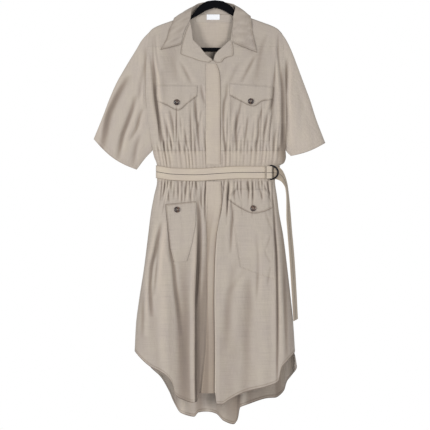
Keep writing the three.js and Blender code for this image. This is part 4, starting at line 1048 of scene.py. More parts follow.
def skirt(name, face, start_of, end_of, across):
    """Rows run level at the waist and bend to follow the hem at the bottom."""
    v = np.concatenate([np.linspace(0, 0.16, 34), np.linspace(0.17, 0.97, 92), np.linspace(0.973, 1, 15)])[:, None]
    u = spread(across, 0.35)[None, :]
    start = WAIST_BOTTOM + SEAM
    side_down = mix(start, SIDE_NOTCH, v)
    low_x = mix(start_of(SIDE_NOTCH), end_of(SIDE_NOTCH), u)
    down = mix(start, hem[face](low_x), v)
    x = mix(start_of(side_down), end_of(side_down), u)
    from_hem = (1 - v) * (down[-1:] - start)
    turned = 1 + 0.9 * (1 - step(from_hem, HEM_TURN - 1.5, HEM_TURN + 1.5)) + 0 * x
    # Painted shade along the hem's stitch line and at the hem's edge
    seam_shade_and_thread = 0.35 * np.exp(-(((from_hem - HEM_TURN) / 1.4) ** 2)) + 0.75 * np.exp(-((from_hem / 2.4) ** 2))
    if face == BACK:
        x = x + SIDE_BULGE * np.exp(-(((down - 1098) / 32) ** 2)) * step(x, 150, 238)
    return face_panel(name, face, x, down, thickness=CLOTH * turned, seam_shade_and_thread=seam_shade_and_thread)


left_seam, right_seam = side_edge["left"], side_edge["right"]
skirt_left = skirt("skirt_front_left_cloth", FRONT, left_seam, lambda d: centre(d) - SEAM / 2, 112)
skirt_right = skirt("skirt_front_right_cloth", FRONT, lambda d: centre(d) + SEAM / 2, right_seam, 122)
skirt_back = skirt("skirt_back_cloth", BACK, left_seam, right_seam, 236)
for piece, name in ((skirt_left, "front_left"), (skirt_right, "front_right"), (skirt_back, "back")):
    declare(piece)

# %% [markdown]
# ## Sleeves
# A dropped sleeve is a flat tube. Its rings start on the armhole and fan out to the open cuff. Creases run from
# the armhole down to the cuff, deep on the left one and hardly any on the right.

# %% Sleeve outlines and creases
CUFF_DEPTH = 17.0
BOW_OUT = 0.4
SLEEVES = {
    "left": {
        "top": [(-195, 94), (-219, 120), (-237, 150), (-270, 204), (-297, 252), (-318, 300), (-336, 348), (-364, 417)],
        "bottom": [(-187, 451), (-191, 456), (-196, 461), (-202, 467), (-209, 475), (-217, 485), (-226, 497),
                   (-235, 509)],
        "bow": 12.0,
        "cut": (0.36, 0.42),
        "shade": 0.0,
        "creases": [
            (5.5, 11, -1, [(-258, 225), (-287, 275), (-307, 315), (-321, 350), (-338, 450)]),
            (5.0, 7, 1, [(-236, 285), (-249, 333), (-263, 372), (-276, 408), (-290, 480)]),
            (3.6, 6, 1, [(-212, 320), (-225, 348), (-233, 381), (-258, 425)]),
            (3.4, 6, -1, [(-209, 140), (-208, 231), (-203, 335)]),
            (2.4, 7, 1, [(-222, 400), (-236, 440), (-246, 500)]),
            (2.6, 6, 1, [(-214, 190), (-222, 260), (-228, 310)]),
        ],
    },
    "right": {
        "top": [(200, 101), (213, 120), (228, 150), (249, 204), (267, 252), (285, 300), (303, 356), (331, 429)],
        "bottom": [(212, 451), (214, 454), (216, 457), (218, 459), (220, 461), (222, 463), (225, 465), (227, 468)],
        "bow": 5.0,
        "cut": (0.27, 0.4),
        "shade": -0.12,
        "creases": [
            (4.6, 6, 1, [(213, 180), (212, 280), (214, 345), (215, 396), (216, 450)]),
            (2.6, 6, 1, [(218, 165), (216, 224), (213, 280)]),
            (1.6, 12, 1, [(240, 230), (256, 320), (262, 430)]),
            (1.2, 9, -1, [(262, 300), (284, 380), (296, 452)]),
        ],
    },
}


# %% Build the sleeves
def sleeve(side, rings=66, around=52):
    """Ring k is a lens between the top fold and the lower fold: y = depth * sin(pi a)^0.6 along it from a = 0 to 1.
    Near the armhole it bends to the armhole's own shape, by (1 - s)^1.5 for share s along the sleeve."""
    spec = SLEEVES[side]
    outward = -1 if side == "left" else 1
    top, bottom = np.array(spec["top"], float), np.array(spec["bottom"], float)
    station = np.linspace(0, 1, len(top))
    s = np.linspace(0, 1, rings)[:, None]
    a = spread(around, 0.6)
    level = mix(CORNER[side], bottom[0, 1], a)
    halves, shades = [], []
    for face in (FRONT, BACK):
        line = [mix(smooth(station, top[:, k])(s), smooth(station, bottom[:, k])(s), a[None, :]) for k in (0, 1)]
        bow = spec["bow"] * np.sin(np.pi * a)[None, :] * s
        free = np.stack(np.broadcast_arrays(
            line[0] + outward * bow * BOW_OUT, face * CUFF_DEPTH * np.sin(np.pi * a) ** 0.6 + 0 * s,
            HANGER_TOP - line[1] - bow), -1)
        edge_x = side_edge[side](level)
        depth = np.where((a > 0) & (a < 1), smooth_depth(face, edge_x, level), 0)
        bend_x = edge_x + outward * SEAM - mix(top[0, 0], bottom[0, 0], a)
        hug = np.stack(np.broadcast_arrays(line[0] + bend_x, face * depth + 0 * s, HANGER_TOP - line[1]), -1)
        grid = mix(free, hug, ((1 - s) ** 1.5)[..., None])
        fall = crease_depth(spec["creases"], grid[..., 0], HANGER_TOP - grid[..., 2])
        wave = 0.8 * np.sin(grid[..., 0] / 17 + grid[..., 2] / 60 + face) + 0.5 * np.sin(grid[..., 2] / 23 - face)
        relief = (fall * (1 if face == FRONT else 0.8) + wave) * np.sin(np.pi * a) ** 0.5 * step(s, 0, 0.12)
        # Painted shade in the sleeve's creases
        shades.append(np.clip(0.13 * fall, -0.4, 1))
        y = face * grid[..., 1]
        grid[..., 1] = face * np.where(y > 1.5, np.maximum(y - relief, 1.5), y)
        halves.append(grid)
    ring = np.concatenate([halves[0], halves[1][:, -2:0:-1]], axis=1)
    hint = ring.mean(axis=1, keepdims=True) - ring
    turned = CLOTH * (1 + 0.9 * step(s, 0.955, 0.972)) + 0 * ring[..., 0]
    inner = offset(ring, turned, hint, wrap=True)
    own = np.sign(ring[..., 1])
    inner[..., 1] = np.where(own == 0, inner[..., 1], own * np.maximum(own * inner[..., 1], 0.1))
    shade_ring = np.concatenate([shades[0], shades[1][:, -2:0:-1]], axis=1)
    # Painted shade along the cuff's edge and stitch line; the right sleeve's shade below 0 is painted light
    at_cuff, at_stitches = np.exp(-(((1 - s) / 0.004) ** 2)), np.exp(-(((0.963 - s) / 0.006) ** 2))
    shade_ring = shade_ring + spec["shade"] + 0.3 * at_cuff + 0.16 * at_stitches
    piece = shell(f"sleeve_{side}_cloth", ring, inner, wrap=True, fold=shade_ring)
    dress(piece, cotton_sleeve, [f"sleeve_{side}"])
    declare(piece, size=spec["cut"])
    return ring


for side in ("left", "right"):
    outlines[f"sleeve_{side}"] = sleeve(side)

# %% [markdown]
# ## Pieces laid on the front: lapels, placket, pockets and flaps
# Each is a second layer on the cloth, so its height is the cloth's own height plus a lift. The doubled edge is a
# little raised, and a groove with small puckers lies where the needle pulled it down.

# %% Build one laid piece
def laid_grid(rows, across, along, curve=smooth):
    """Grid between pairs of ends, with the pairs joined by smooth or straight lines."""
    rows = np.array(rows, float)
    station = np.linspace(0, 1, len(rows))
    v = spread(along, 0.4)[:, None]
    u = spread(across, 0.5)[None, :]
    ends = [curve(station, rows[:, k])(v) for k in range(4)]
    return mix(ends[0], ends[2], u), mix(ends[1], ends[3], u)


def edge_distance(x, down, edges):
    """Distance in mm of each grid point to the nearest of the named edges, along the rows and columns."""
    grid = np.stack([x, down], -1)
    across, along = lengths(grid, 1), lengths(grid, 0)
    far = {"start": across, "end": across[:, -1:] - across, "first": along, "last": along[-1:] - along}
    return np.min([far[name] for name in edges], axis=0)


def laid(name, face, x, down, lift, edges, material=cotton_body, thickness=CLOTH, raised=0.5,
         needle=4.0, crown=0.0, painted_edge_shade=0.5, extra_painted_shade=0.0):
    """Layer on a face: the cloth's height plus the lift, a rounded edge, a groove at the needle line and puckers.
    Painted shade lies along its edge and its stitch line, by the edge shade share, on top of the painted shade of the
    folds and any extra painted shade."""
    far = edge_distance(x, down, edges)
    # Painted shade along the edge and the stitch line
    seam_shade_and_thread = painted_edge_shade * (np.exp(-((far / 1.5) ** 2)) + 0.35 * np.exp(-(((far - needle) / 1.1) ** 2)))
    groove = 0.45 * np.exp(-(((far - needle) / 1.6) ** 2))
    pucker = 0.28 * np.sin(down / 1.9 + x / 2.3) * np.exp(-(((far - needle) / 5) ** 2))
    edge = raised * np.exp(-((far / 2.2) ** 2))
    puff = crown * (1 - np.exp(-((far / 18) ** 2)))
    depth = cloth_depth(face, x, down) + lift + thickness + edge - groove + pucker + puff
    outer = place(face, x, down, depth)
    inner = offset(outer, thickness, (0, -face, 0))
    piece = shell(name, outer, inner, fold=painted_fold_shade(face, x, down) + seam_shade_and_thread + extra_painted_shade)
    return dress(piece, material, [name.removesuffix("_cloth")]), outer


# %% Lapels and placket strips
LAPELS = {
    "left": [(-74.5, 71, -76.5, 74), (-71, 85, -86, 93), (-68, 108, -94, 118), (-66, 121, -99, 136),
             (-51, 137, -102, 152), (-42, 147, -102.5, 163), (-32, 160, -88, 170), (-23, 170, -67, 177),
             (-13, 178, -45, 185), (-9, 184, -18, 190)],
    "right": [(46, 122, 51, 127), (38, 129, 53, 141), (27, 139, 54.5, 156), (14, 151, 53, 169), (4, 161, 39, 173),
              (0, 168, 27, 179), (-3, 178, 18, 189), (-4, 185, 4, 191)],
}
for side, rows in LAPELS.items():
    x, down = laid_grid(rows, 26, 60)
    lapel, outlines[f"lapel_{side}"] = laid(f"lapel_{side}_cloth", FRONT, x, down, 0.7, ["end", "last"], crown=1.6)
    declare(lapel)
for name, rows in PLACKETS.items():
    x, down = laid_grid(rows, 22, 96 if name == "placket_bodice" else 190)
    # Painted shade on the strip where the skirt's groove shades it, its right side lit, and a little painted shade
    # lower down
    lit = 1 - step(x[:, -1:] - x, 15, 21)
    extra_painted_shade = mix(0.36, 0.13, lit) * step(down, 590, 760) + 0.16 * step(down, 780, 1060)
    strip, outlines[name] = laid(f"{name}_cloth", FRONT, x, down, 0.5, ["end"], cotton_strip, crown=1.0, extra_painted_shade=extra_painted_shade)
    declare(strip)

# %% Pockets and flaps
FLAPS = {
    "chest_flap_left": [(-175.5, 258, -175.5, 304), (-145, 257, -144, 318), (-114, 257, -111, 333),
                        (-84, 258, -83, 312), (-54, 258, -55.5, 291)],
    "chest_flap_right": [(44, 251, 44, 288), (75, 254, 73, 304), (110, 257, 113, 321), (144, 260, 142, 305),
                         (174, 262, 171, 301)],
    "hip_flap_right": [(66, 566, 37, 596), (82, 566, 65, 618), (108, 566, 114, 640), (132, 566, 145, 635),
                       (151, 566, 172, 623)],
}
POCKET_LIFT = 0.6
FLAP_LIFT = POCKET_LIFT + CLOTH + 1.1
# Edges of each pocket that get painted shade, and the share of that painted shade, which also sets how high the edge is
# raised
POCKET_LOOKS = {
    "chest_pocket_left": (["start", "end"], 0.12), "chest_pocket_right": (["start", "end"], 0.12),
    "hip_pocket_left": (["first", "start"], 0.75), "hip_pocket_right": (["start", "end", "last"], 0.1),
}
for name, rows in POCKETS.items():
    x, down = laid_grid(rows, 64, 76, straight)
    edges, painted_edge_shade = POCKET_LOOKS[name]
    pocket, outlines[name] = laid(f"{name}_cloth", FRONT, x, down, POCKET_LIFT, edges, crown=0.8, raised=painted_edge_shade,
                                  painted_edge_shade=painted_edge_shade)
    declare(pocket)
# Flaps get painted shade along their lower edge and stitch line
for name, rows in FLAPS.items():
    x, down = laid_grid(rows, 34, 66)
    from_side, from_top = edge_distance(x, down, ["first", "last"]), edge_distance(x, down, ["start"])
    lift = mix(POCKET_LIFT + CLOTH + 0.3, FLAP_LIFT, step(from_side, 0, 16))
    lift = mix(0.15, lift, step(from_top, 0, 5))
    flap, outlines[name] = laid(f"{name}_cloth", FRONT, x, down, lift, ["end"], crown=0.6, raised=1.2, painted_edge_shade=0.62)
    declare(flap)

# %% [markdown]
# ## Collar, stand and the inside of the neck
# The collar stands round the neck behind the hanger, rolls over at its top and falls outside, open at the front.
# Stations go once round: where the roll lies, where the outer edge lies, and which way the leaf looks there.

# %% Collar stations
COLLAR_COLUMNS = ("rollX", "rollY", "rollDown", "edgeX", "edgeY", "edgeDown", "faceX", "faceY", "faceZ")
ON_FRONT, ON_BACK = 998, 999
COLLAR_ROWS = [
    (-103, ON_FRONT, 136, -163, ON_FRONT, 151, 0, -1, 0),
    (-98, ON_FRONT, 114, -154, ON_FRONT, 136, 0, -1, 0),
    (-93, ON_FRONT, 96, -143, ON_FRONT, 114, 0, -1, 0),
    (-78, ON_FRONT, 66, -136, ON_FRONT, 88, 0, -1, 0),
    (-73, ON_FRONT, 48, -128, -10, 72, -0.2, -0.9, 0.4),
    (-70, -6, 30, -122, -3, 55, -0.4, -0.3, 0.9),
    (-62, 3, 18, -118, 6, 54, -0.4, 0.4, 0.8),
    (-46, 9, 8, -100, ON_BACK, 66, -0.2, 0.9, 0.4),
    (-24, 12, 4, -54, ON_BACK, 68, 0, 1, 0.1),
    (0, 13, 3, 0, ON_BACK, 68, 0, 1, 0.1),
    (22, 12, 4, 52, ON_BACK, 68, 0, 1, 0.1),
    (42, 9, 8, 94, ON_BACK, 64, 0.2, 0.9, 0.4),
    (58, 3, 14, 104, 6, 48, 0.4, 0.4, 0.8),
    (61, -7, 25, 106, -3, 48, 0.4, -0.3, 0.9),
    (55, ON_FRONT, 50, 108, -10, 64, 0.2, -0.9, 0.4),
    (54, ON_FRONT, 74, 110, ON_FRONT, 84, 0, -1, 0),
    (52, ON_FRONT, 92, 113, ON_FRONT, 104, 0, -1, 0),
    (53, ON_FRONT, 112, 119, ON_FRONT, 131, 0, -1, 0),
    (57, ON_FRONT, 132, 125, ON_FRONT, 160, 0, -1, 0),
]
COLLAR_LIFT = 1.6
COLLAR_BULGE = 3.0
COLLAR_CLOTH = 1.3


def on_cloth(x, y, down, lift):
    """The y of a station: its own, or the smooth front or back plus a lift where it lies on the dress."""
    front = -(smooth_depth(FRONT, x, down) + lift)
    rear = smooth_depth(BACK, x, down) + lift
    return np.where(y == ON_FRONT, front, np.where(y == ON_BACK, rear, y))


stations = columns(COLLAR_COLUMNS, COLLAR_ROWS)
stations["rollY"] = on_cloth(stations["rollX"], stations["rollY"], stations["rollDown"], COLLAR_LIFT)
stations["edgeY"] = on_cloth(stations["edgeX"], stations["edgeY"], stations["edgeDown"], COLLAR_LIFT)
station_place = np.arange(len(COLLAR_ROWS), dtype=float)


def station_curve(name, s):
    return smooth(station_place, stations[name])(s)


print("collar stations:", len(COLLAR_ROWS))


# %% Collar fall
def collar_points(s, t):
    """Point of the leaf at station s and share t from roll to edge: a straight line plus a bulge of 3 sin(pi t)."""
    roll_z = HANGER_TOP - station_curve("rollDown", s)
    roll = np.stack([station_curve("rollX", s), station_curve("rollY", s), roll_z], -1)
    edge = np.stack([station_curve("edgeX", s), station_curve("edgeY", s), HANGER_TOP - station_curve("edgeDown", s)], -1)
    look = np.stack([station_curve(name, s) for name in ("faceX", "faceY", "faceZ")], -1)
    look /= np.linalg.norm(look, axis=-1, keepdims=True)
    return mix(roll, edge, t[..., None]) + look * (COLLAR_BULGE * np.sin(np.pi * t))[..., None], look


s = np.concatenate([spread(150, 0.1) * (len(COLLAR_ROWS) - 1)])[:, None]
t = spread(34, 0.5)[None, :]
s, t = np.broadcast_arrays(s, t)
collar_mid, collar_look = collar_points(s, t)
across = np.linalg.norm(collar_mid[:, -1] - collar_mid[:, 0], axis=-1)[:, None]
from_edge = np.minimum((1 - t) * across, np.minimum(s, len(COLLAR_ROWS) - 1 - s) * 22)
ripple = 0.7 * np.sin(s * 2.1 + t * 3) + 0.4 * np.sin(s * 4.7 - t * 5)
groove = 0.4 * np.exp(-(((from_edge - 4.5) / 1.7) ** 2)) - 0.3 * np.exp(-((from_edge / 2.4) ** 2))
pucker = 0.2 * np.sin(s * 26) * np.exp(-(((from_edge - 4.5) / 4) ** 2))
collar_mid = collar_mid + collar_look * (ripple * step(t, 0, 0.2) - groove + pucker)[..., None]
on_front = (collar_look[..., 1] < -0.8) & (collar_mid[..., 2] < HANGER_TOP - 60)
rest = -(cloth_depth(FRONT, collar_mid[..., 0], HANGER_TOP - collar_mid[..., 2]) + COLLAR_CLOTH / 2 + 0.5)
collar_mid[..., 1] = np.where(on_front, np.minimum(collar_mid[..., 1], rest), collar_mid[..., 1])
collar_out = offset(collar_mid, COLLAR_CLOTH / 2, collar_look)
collar_in = offset(collar_mid, COLLAR_CLOTH / 2, -collar_look)
# Painted shade along the collar's edge and stitch line, and a faint uneven painted shade over the whole leaf
collar_shade = 0.45 * np.exp(-((from_edge / 1.6) ** 2)) + 0.2 * np.exp(-(((from_edge - 4.5) / 1.2) ** 2))
collar_shade = collar_shade + 0.08 + 0.09 * np.sin(s * 5.3 + t * 6) * np.sin(s * 2.3 - t * 2) ** 2
collar = dress(shell("collar_cloth", collar_out, collar_in, fold=collar_shade), cotton_body, ["collar"])
declare(collar)

# %% Collar stand
STAND_GAP, STAND_DROP, STAND_CLOTH = 2.2, 2.0, 1.3
s = np.linspace(7, 11, 70)
roll, look = collar_points(s, np.zeros_like(s))
roll = roll - look * STAND_GAP - np.array([0, 0, STAND_DROP])
seam_x = np.clip(station_curve("rollX", s), NECK["left"][0] + 9, NECK["right"][0] - 9)
seam_down = top_edge(BACK, seam_x)
seam = place(BACK, seam_x, seam_down, smooth_depth(BACK, seam_x, seam_down + 0.01) - 0.75)
seam[:, 2] += 0.7
t = np.linspace(0, 1, 22)[:, None, None]
stand_mid = mix(roll[None], seam[None], t) + np.array([0, 1.2, 0]) * np.sin(np.pi * t)
stand_out = offset(stand_mid, STAND_CLOTH / 2, (0, 1, 0))
stand_in = offset(stand_mid, STAND_CLOTH / 2, (0, -1, 0))
stand = dress(shell("collar_stand_cloth", stand_out, stand_in), cotton_inside_painted_light, ["collar_stand"])
declare(stand)


# %% Neck facing and label, laid on the inside of the back
def inner_layer(name, rows, gap, thickness, material, across, along):
    """Layer inside the back: the back's height less the gap."""
    x, down = laid_grid(rows, across, along)
    far = edge_distance(x, down, ["start", "end", "last"])
    depth = cloth_depth(BACK, x, down) - gap - 0.35 * np.exp(-((far / 2) ** 2))
    outer = place(BACK, x, down, depth)
    inner = offset(outer, thickness, (0, -1, 0))
    return dress(shell(name, outer, inner), material, [name.removesuffix("_cloth")]), inner


FACING_ROWS = [(-52, 44, 46, 44), (-58, 56, 52, 56), (-56, 66, 50, 66)]
LABEL_ROWS = [(-25, 42, 14, 42), (-25, 58, 14, 58)]
facing, _ = inner_layer("neck_facing_cloth", FACING_ROWS, 0.9, CLOTH, cotton_inside_painted_light, 60, 22)
declare(facing)
label, _ = inner_layer("neck_label_cloth", LABEL_ROWS, 1.9, 0.6, label_tape, 24, 14)
declare(label)

# %% [markdown]
# ## Belt
# The belt is a firm band once round the waist. Its end is folded round the legs of two rings. The tail goes through
# the rings, turns edge on and hangs beside the skirt. A dark cord runs along the middle of the band.

# %% Belt band
BELT_WIDTH, BELT_LIFT, BELT_WALL, BELT_LEVEL, BELT_START = 38.0, 1.2, 2.2, 518.0, 164.0
belt_top = smooth([-176, -126, -57, 12, 75, 190], [496, 504, 506, 502, 499, 499])


def inward(face, x, down):
    """Unit vector into the dress: from the slopes of the smooth face, and straight across at the side seams."""
    left, right = side_edge["left"](down), side_edge["right"](down)
    x0, x1 = np.maximum(x - 1.5, left), np.minimum(x + 1.5, right)
    slope_x = (smooth_depth(face, x1, down) - smooth_depth(face, x0, down)) / (x1 - x0)
    slope_z = (smooth_depth(face, x, down - 1.5) - smooth_depth(face, x, down + 1.5)) / 3
    flat = np.stack([slope_x, np.full(x.shape, -float(face)), slope_z], -1)
    flat = np.where((x - left < 0.6)[..., None], [1.0, 0, 0], flat)
    flat = np.where((right - x < 0.6)[..., None], [-1.0, 0, 0], flat)
    return flat / np.linalg.norm(flat, axis=-1, keepdims=True)


def belt_points(face, x, share, lift):
    """Point of the belt: the smooth face at that width share of the band, moved out by the lift."""
    down = belt_top(x) + share * BELT_WIDTH
    return place(face, x, down, smooth_depth(face, x, down)) - inward(face, x, down) * np.asarray(lift)[..., None]


def belt_walk(share):
    """Faces and places along the band: front end, left side, back, right side. Steps shrink at the sides."""
    level = belt_top(BELT_START) + share * BELT_WIDTH
    left, right = float(side_edge["left"](level)), float(side_edge["right"](level))
    inset = 52 * np.linspace(0, 1, 22) ** 2
    front = np.concatenate([np.linspace(BELT_START, left + 52, 60)[:-1], left + inset[::-1]])
    rear = np.concatenate([left + inset[1:], np.linspace(left + 52, right - 52, 60)[1:-1], right - inset[::-1]])
    end = right - inset[1:4]
    faces = np.concatenate([np.full(len(front), FRONT), np.full(len(rear), BACK), np.full(len(end), FRONT)])
    return faces, np.concatenate([front, rear, end])


def belt_surface(shares, lift):
    """Grid of the band: a row for each share of the width, worked out face by face."""
    rows = []
    for share, up in zip(shares, lift):
        faces, x = belt_walk(share)
        row = np.empty((len(x), 3))
        for face in (FRONT, BACK):
            here = faces == face
            row[here] = belt_points(face, x[here], np.full(here.sum(), share), np.full(here.sum(), up))
        rows.append(row)
    return np.array(rows)


shares = np.concatenate([spread(17, 0.4) * 0.47, 0.53 + spread(17, 0.4) * 0.47])
shares = np.unique(np.concatenate([shares, [0.485, 0.5, 0.515]]))
from_rim = np.minimum(shares, 1 - shares) * BELT_WIDTH
profile = 0.25 * np.exp(-((from_rim / 1.6) ** 2)) - 0.3 * np.exp(-(((from_rim - 3.5) / 1.3) ** 2))
profile -= 0.9 * np.exp(-(((shares - 0.5) * BELT_WIDTH / 1.3) ** 2))
belt_out = belt_surface(shares, BELT_LIFT + BELT_WALL + profile)
belt_in = belt_surface(shares, np.full(len(shares), BELT_LIFT))
# Painted shadow along the band's top and bottom rims
belt_shade = np.repeat((0.7 * np.exp(-((from_rim / 1.0) ** 2)))[:, None], belt_out.shape[1], 1)
belt = dress(shell("belt_band_cloth", belt_out, belt_in, fold=belt_shade), cotton_belt, ["belt_band"])
declare(belt)

# %% Rings and the fold of belt round them
RING = {"leg": 165.5, "reach": 22.8, "height": 44.0, "wire": 3.4, "pitch": 3.5, "play": 1.0}
LOOP = {"start": 150.0, "wall": 1.5, "inset": 0.8}
seat = float(-smooth_depth(FRONT, np.array(LOOP["start"]), np.array(BELT_LEVEL)) - BELT_LIFT - BELT_WALL)
rear_ring_y = seat - 2 * SEAM - LOOP["wall"] - RING["play"] - RING["wire"] / 2
half = (RING["height"] - RING["wire"]) / 2
bow_angle = np.pi / 2 - np.linspace(0, 1, 40)[1:-1] * np.pi
leg_z = np.linspace(-half, half, 14)
ring_x = np.concatenate([np.full(14, RING["leg"]), RING["leg"] + RING["reach"] * np.cos(bow_angle)])
ring_z = HANGER_TOP - BELT_LEVEL + np.concatenate([leg_z, half * np.sin(bow_angle)])
for name, y in (("d_ring_front", rear_ring_y - RING["pitch"]), ("d_ring_rear", rear_ring_y)):
    path = np.stack([ring_x, np.full(ring_x.shape, y), ring_z], -1)
    ring = tube(f"{name}_wire", path, RING["wire"] / 2, 16, closed=True, wide=1.4)
    dress(ring, lacquer, [name])

behind = seat - SEAM
before = rear_ring_y - RING["pitch"] - RING["wire"] / 2 - SEAM
turn = (behind - LOOP["wall"] - before) / 2
angle = np.pi / 2 - np.linspace(0, 1, 26) * np.pi
round_x = RING["leg"] + (turn + LOOP["wall"]) * np.cos(angle)
round_y = before + turn + (turn + LOOP["wall"]) * np.sin(angle)
loop_x = np.concatenate([np.linspace(LOOP["start"], LOOP["start"] + 8, 5), round_x,
                         np.linspace(RING["leg"], LOOP["start"] + 4, 8)[1:]])
loop_y = np.concatenate([np.full(5, behind), round_y, np.full(7, before - LOOP["wall"])])
share = spread(24, 0.4)[:, None]
loop_z = HANGER_TOP - belt_top(LOOP["start"]) - mix(LOOP["inset"], BELT_WIDTH - LOOP["inset"], share)
loop_out = np.stack(np.broadcast_arrays(loop_x[None], loop_y[None], loop_z), -1)
loop_hint = np.where(np.arange(len(loop_x))[:, None] < 5, [0.0, -1, 0], [0.0, 0, 0])
loop_hint = loop_hint + np.where(np.arange(len(loop_x))[:, None] >= 31, [0.0, 1, 0], [0.0, 0, 0])
inward_turn = np.stack([-np.cos(angle), -np.sin(angle), 0 * angle], -1)
loop_hint[5:31] = inward_turn
loop_in = loop_out + loop_hint[None] * LOOP["wall"]
groove = 0.5 * np.exp(-(((share - 0.5) * BELT_WIDTH / 1.3) ** 2))
loop_out = loop_out + loop_hint[None] * groove[..., None]
loop = dress(shell("belt_ring_loop_cloth", loop_out, loop_in), cotton_belt, ["belt_ring_loop"])
declare(loop)
loop_middle_row = loop_out[len(loop_out) // 2, 2:]
dress(tube("belt_loop_cord", loop_middle_row, 0.75, 6, up=(0, 0, 1)), thread_dark)

# %% Belt tail
TAIL_COLUMNS = ("topX", "topY", "topDown", "lowX", "lowY", "lowDown")
TAIL = columns(TAIL_COLUMNS, [
    (175, -20.8, 501, 175, -20.8, 537), (187, -20.1, 501, 185, -20.6, 539), (198, -13.8, 508, 195, -18.8, 543),
    (208, -3, 524, 203, -18, 550), (217, 8, 553, 211, -17, 566), (223, 15, 596, 214, -17, 600),
    (227, 18, 639, 214, -17, 645), (231, 19, 690, 217, -17, 694), (238, 19, 767, 223, -17, 770),
    (244, 19, 860, 229, -17, 862), (249, 19, 958, 235, -17, 962),
])
station = np.arange(len(TAIL["topX"]), dtype=float)
v = np.linspace(0, station[-1], 110)
tail_edges = [np.stack([smooth(station, TAIL[f"{end}X"])(v), smooth(station, TAIL[f"{end}Y"])(v),
                        HANGER_TOP - smooth(station, TAIL[f"{end}Down"])(v)], -1) for end in ("top", "low")]
share = spread(25, 0.4)
share = np.unique(np.concatenate([share, [0.475, 0.5, 0.525]]))
tail_mid = mix(tail_edges[0][:, None], tail_edges[1][:, None], share[None, :, None])
tail_groove = 0.6 * np.exp(-(((share - 0.5) * BELT_WIDTH / 1.3) ** 2))[None, :] + 0 * tail_mid[..., 0]
tail_out = offset(tail_mid, BELT_WALL / 2 - tail_groove, (1, -0.4, 0))
tail_in = offset(tail_mid, BELT_WALL / 2, (-1, 0.4, 0))
tail = dress(shell("belt_tail_cloth", tail_out, tail_in), cotton_tail_painted_shade, ["belt_tail"])
declare(tail)

# %% Dark cord along the belt's middle
middle = np.argmin(np.abs(shares - 0.5))
cord_path = belt_out[middle, ::2]
belt_cord = tube("belt_middle_cord", cord_path, 0.75, 6, up=(0, 0, 1))
dress(belt_cord, thread_dark)
tail_middle = np.argmin(np.abs(share - 0.5))
tail_cord = tube("belt_tail_cord", tail_out[:, tail_middle], 0.6, 6, up=(0, 1, 0.2))
dress(tail_cord, thread_dark)
cords = {"band": cord_path, "tail": tail_out[:, tail_middle], "loop": loop_middle_row}
print("belt cords in mm:", {name: round(float(lengths(path, 0)[-1])) for name, path in cords.items()})

# %% [markdown]
# ## Stitches
# Every edge that was turned and sewn shows a row of short stitches a few millimetres in. Each stitch is a small
# spindle that dips into the cloth at both ends. All the stitches of one piece are one mesh.

# %% Rows of stitches
STITCH = {"length": 2.6, "gap": 1.0, "radius": 0.3, "rise": 0.25}


def inset_line(grid, edge, distance):
    """Points at a distance in from one edge of a grid, measured along its rows or columns."""
    grid = grid.transpose(1, 0, 2) if edge in ("first", "last") else grid
    grid = grid[:, ::-1] if edge in ("end", "last") else grid
    across = lengths(grid, 1)
    j = np.clip((across < distance).sum(axis=1) - 1, 0, grid.shape[1] - 2)
    row = np.arange(len(grid))
    share = (distance - across[row, j]) / np.maximum(across[row, j + 1] - across[row, j], 1e-6)
    return mix(grid[row, j], grid[row, j + 1], np.clip(share, 0, 1)[:, None])


def stitches(name, lines, outward, material=thread):
    """Spindles along the lines: three square rings each, at 0, half and the whole of the stitch, the middle one
    raised by the rise and as thick as the radius, the outer two sunk and thin."""
    starts, ends = [], []
    for line in lines:
        run = np.concatenate([[0], np.cumsum(np.linalg.norm(np.diff(line, axis=0), axis=1))])
        pitch = STITCH["length"] + STITCH["gap"]
        at = np.arange(1.0, run[-1] - pitch, pitch)
        starts.append(np.stack([np.interp(at, run, line[:, k]) for k in range(3)], -1))
        ends.append(np.stack([np.interp(at + STITCH["length"], run, line[:, k]) for k in range(3)], -1))
    start, end = np.concatenate(starts), np.concatenate(ends)
    out = np.broadcast_to(np.asarray(outward, float), start.shape)
    forward = (end - start) / np.linalg.norm(end - start, axis=1, keepdims=True)
    side = np.cross(forward, out)
    side /= np.linalg.norm(side, axis=1, keepdims=True)
    out = np.cross(side, forward)
    shares = np.array([0, 0.5, 1.0])
    radius = STITCH["radius"] * np.array([0.4, 1.0, 0.4])
    rise = STITCH["rise"] * np.array([-0.6, 1.0, -0.6])
    turn = np.array([[1, 0], [0, 1], [-1, 0], [0, -1]], float)
    middle = start[:, None] + (end - start)[:, None] * shares[:, None] + out[:, None] * rise[:, None]
    spoke = side[:, None, None] * turn[:, :1] + out[:, None, None] * turn[:, 1:]
    points = (middle[:, :, None] + spoke * radius[:, None, None]).reshape(-1, 3)
    first = np.arange(len(start))[:, None] * 12
    ring = np.array([[k, (k + 1) % 4, (k + 1) % 4 + 4, k + 4] for k in range(4)])
    quads = np.concatenate([ring, ring + 4, [[3, 2, 1, 0]], [[8, 9, 10, 11]]])
    faces = (first[:, None] + quads[None]).reshape(-1, 4)
    faces = faces if volume(points, [faces]) > 0 else faces[:, ::-1]
    return dress(finish_piece(name, points, [faces], sharp=80), material)


print("one stitch each", round(STITCH["length"] + STITCH["gap"], 1), "mm")

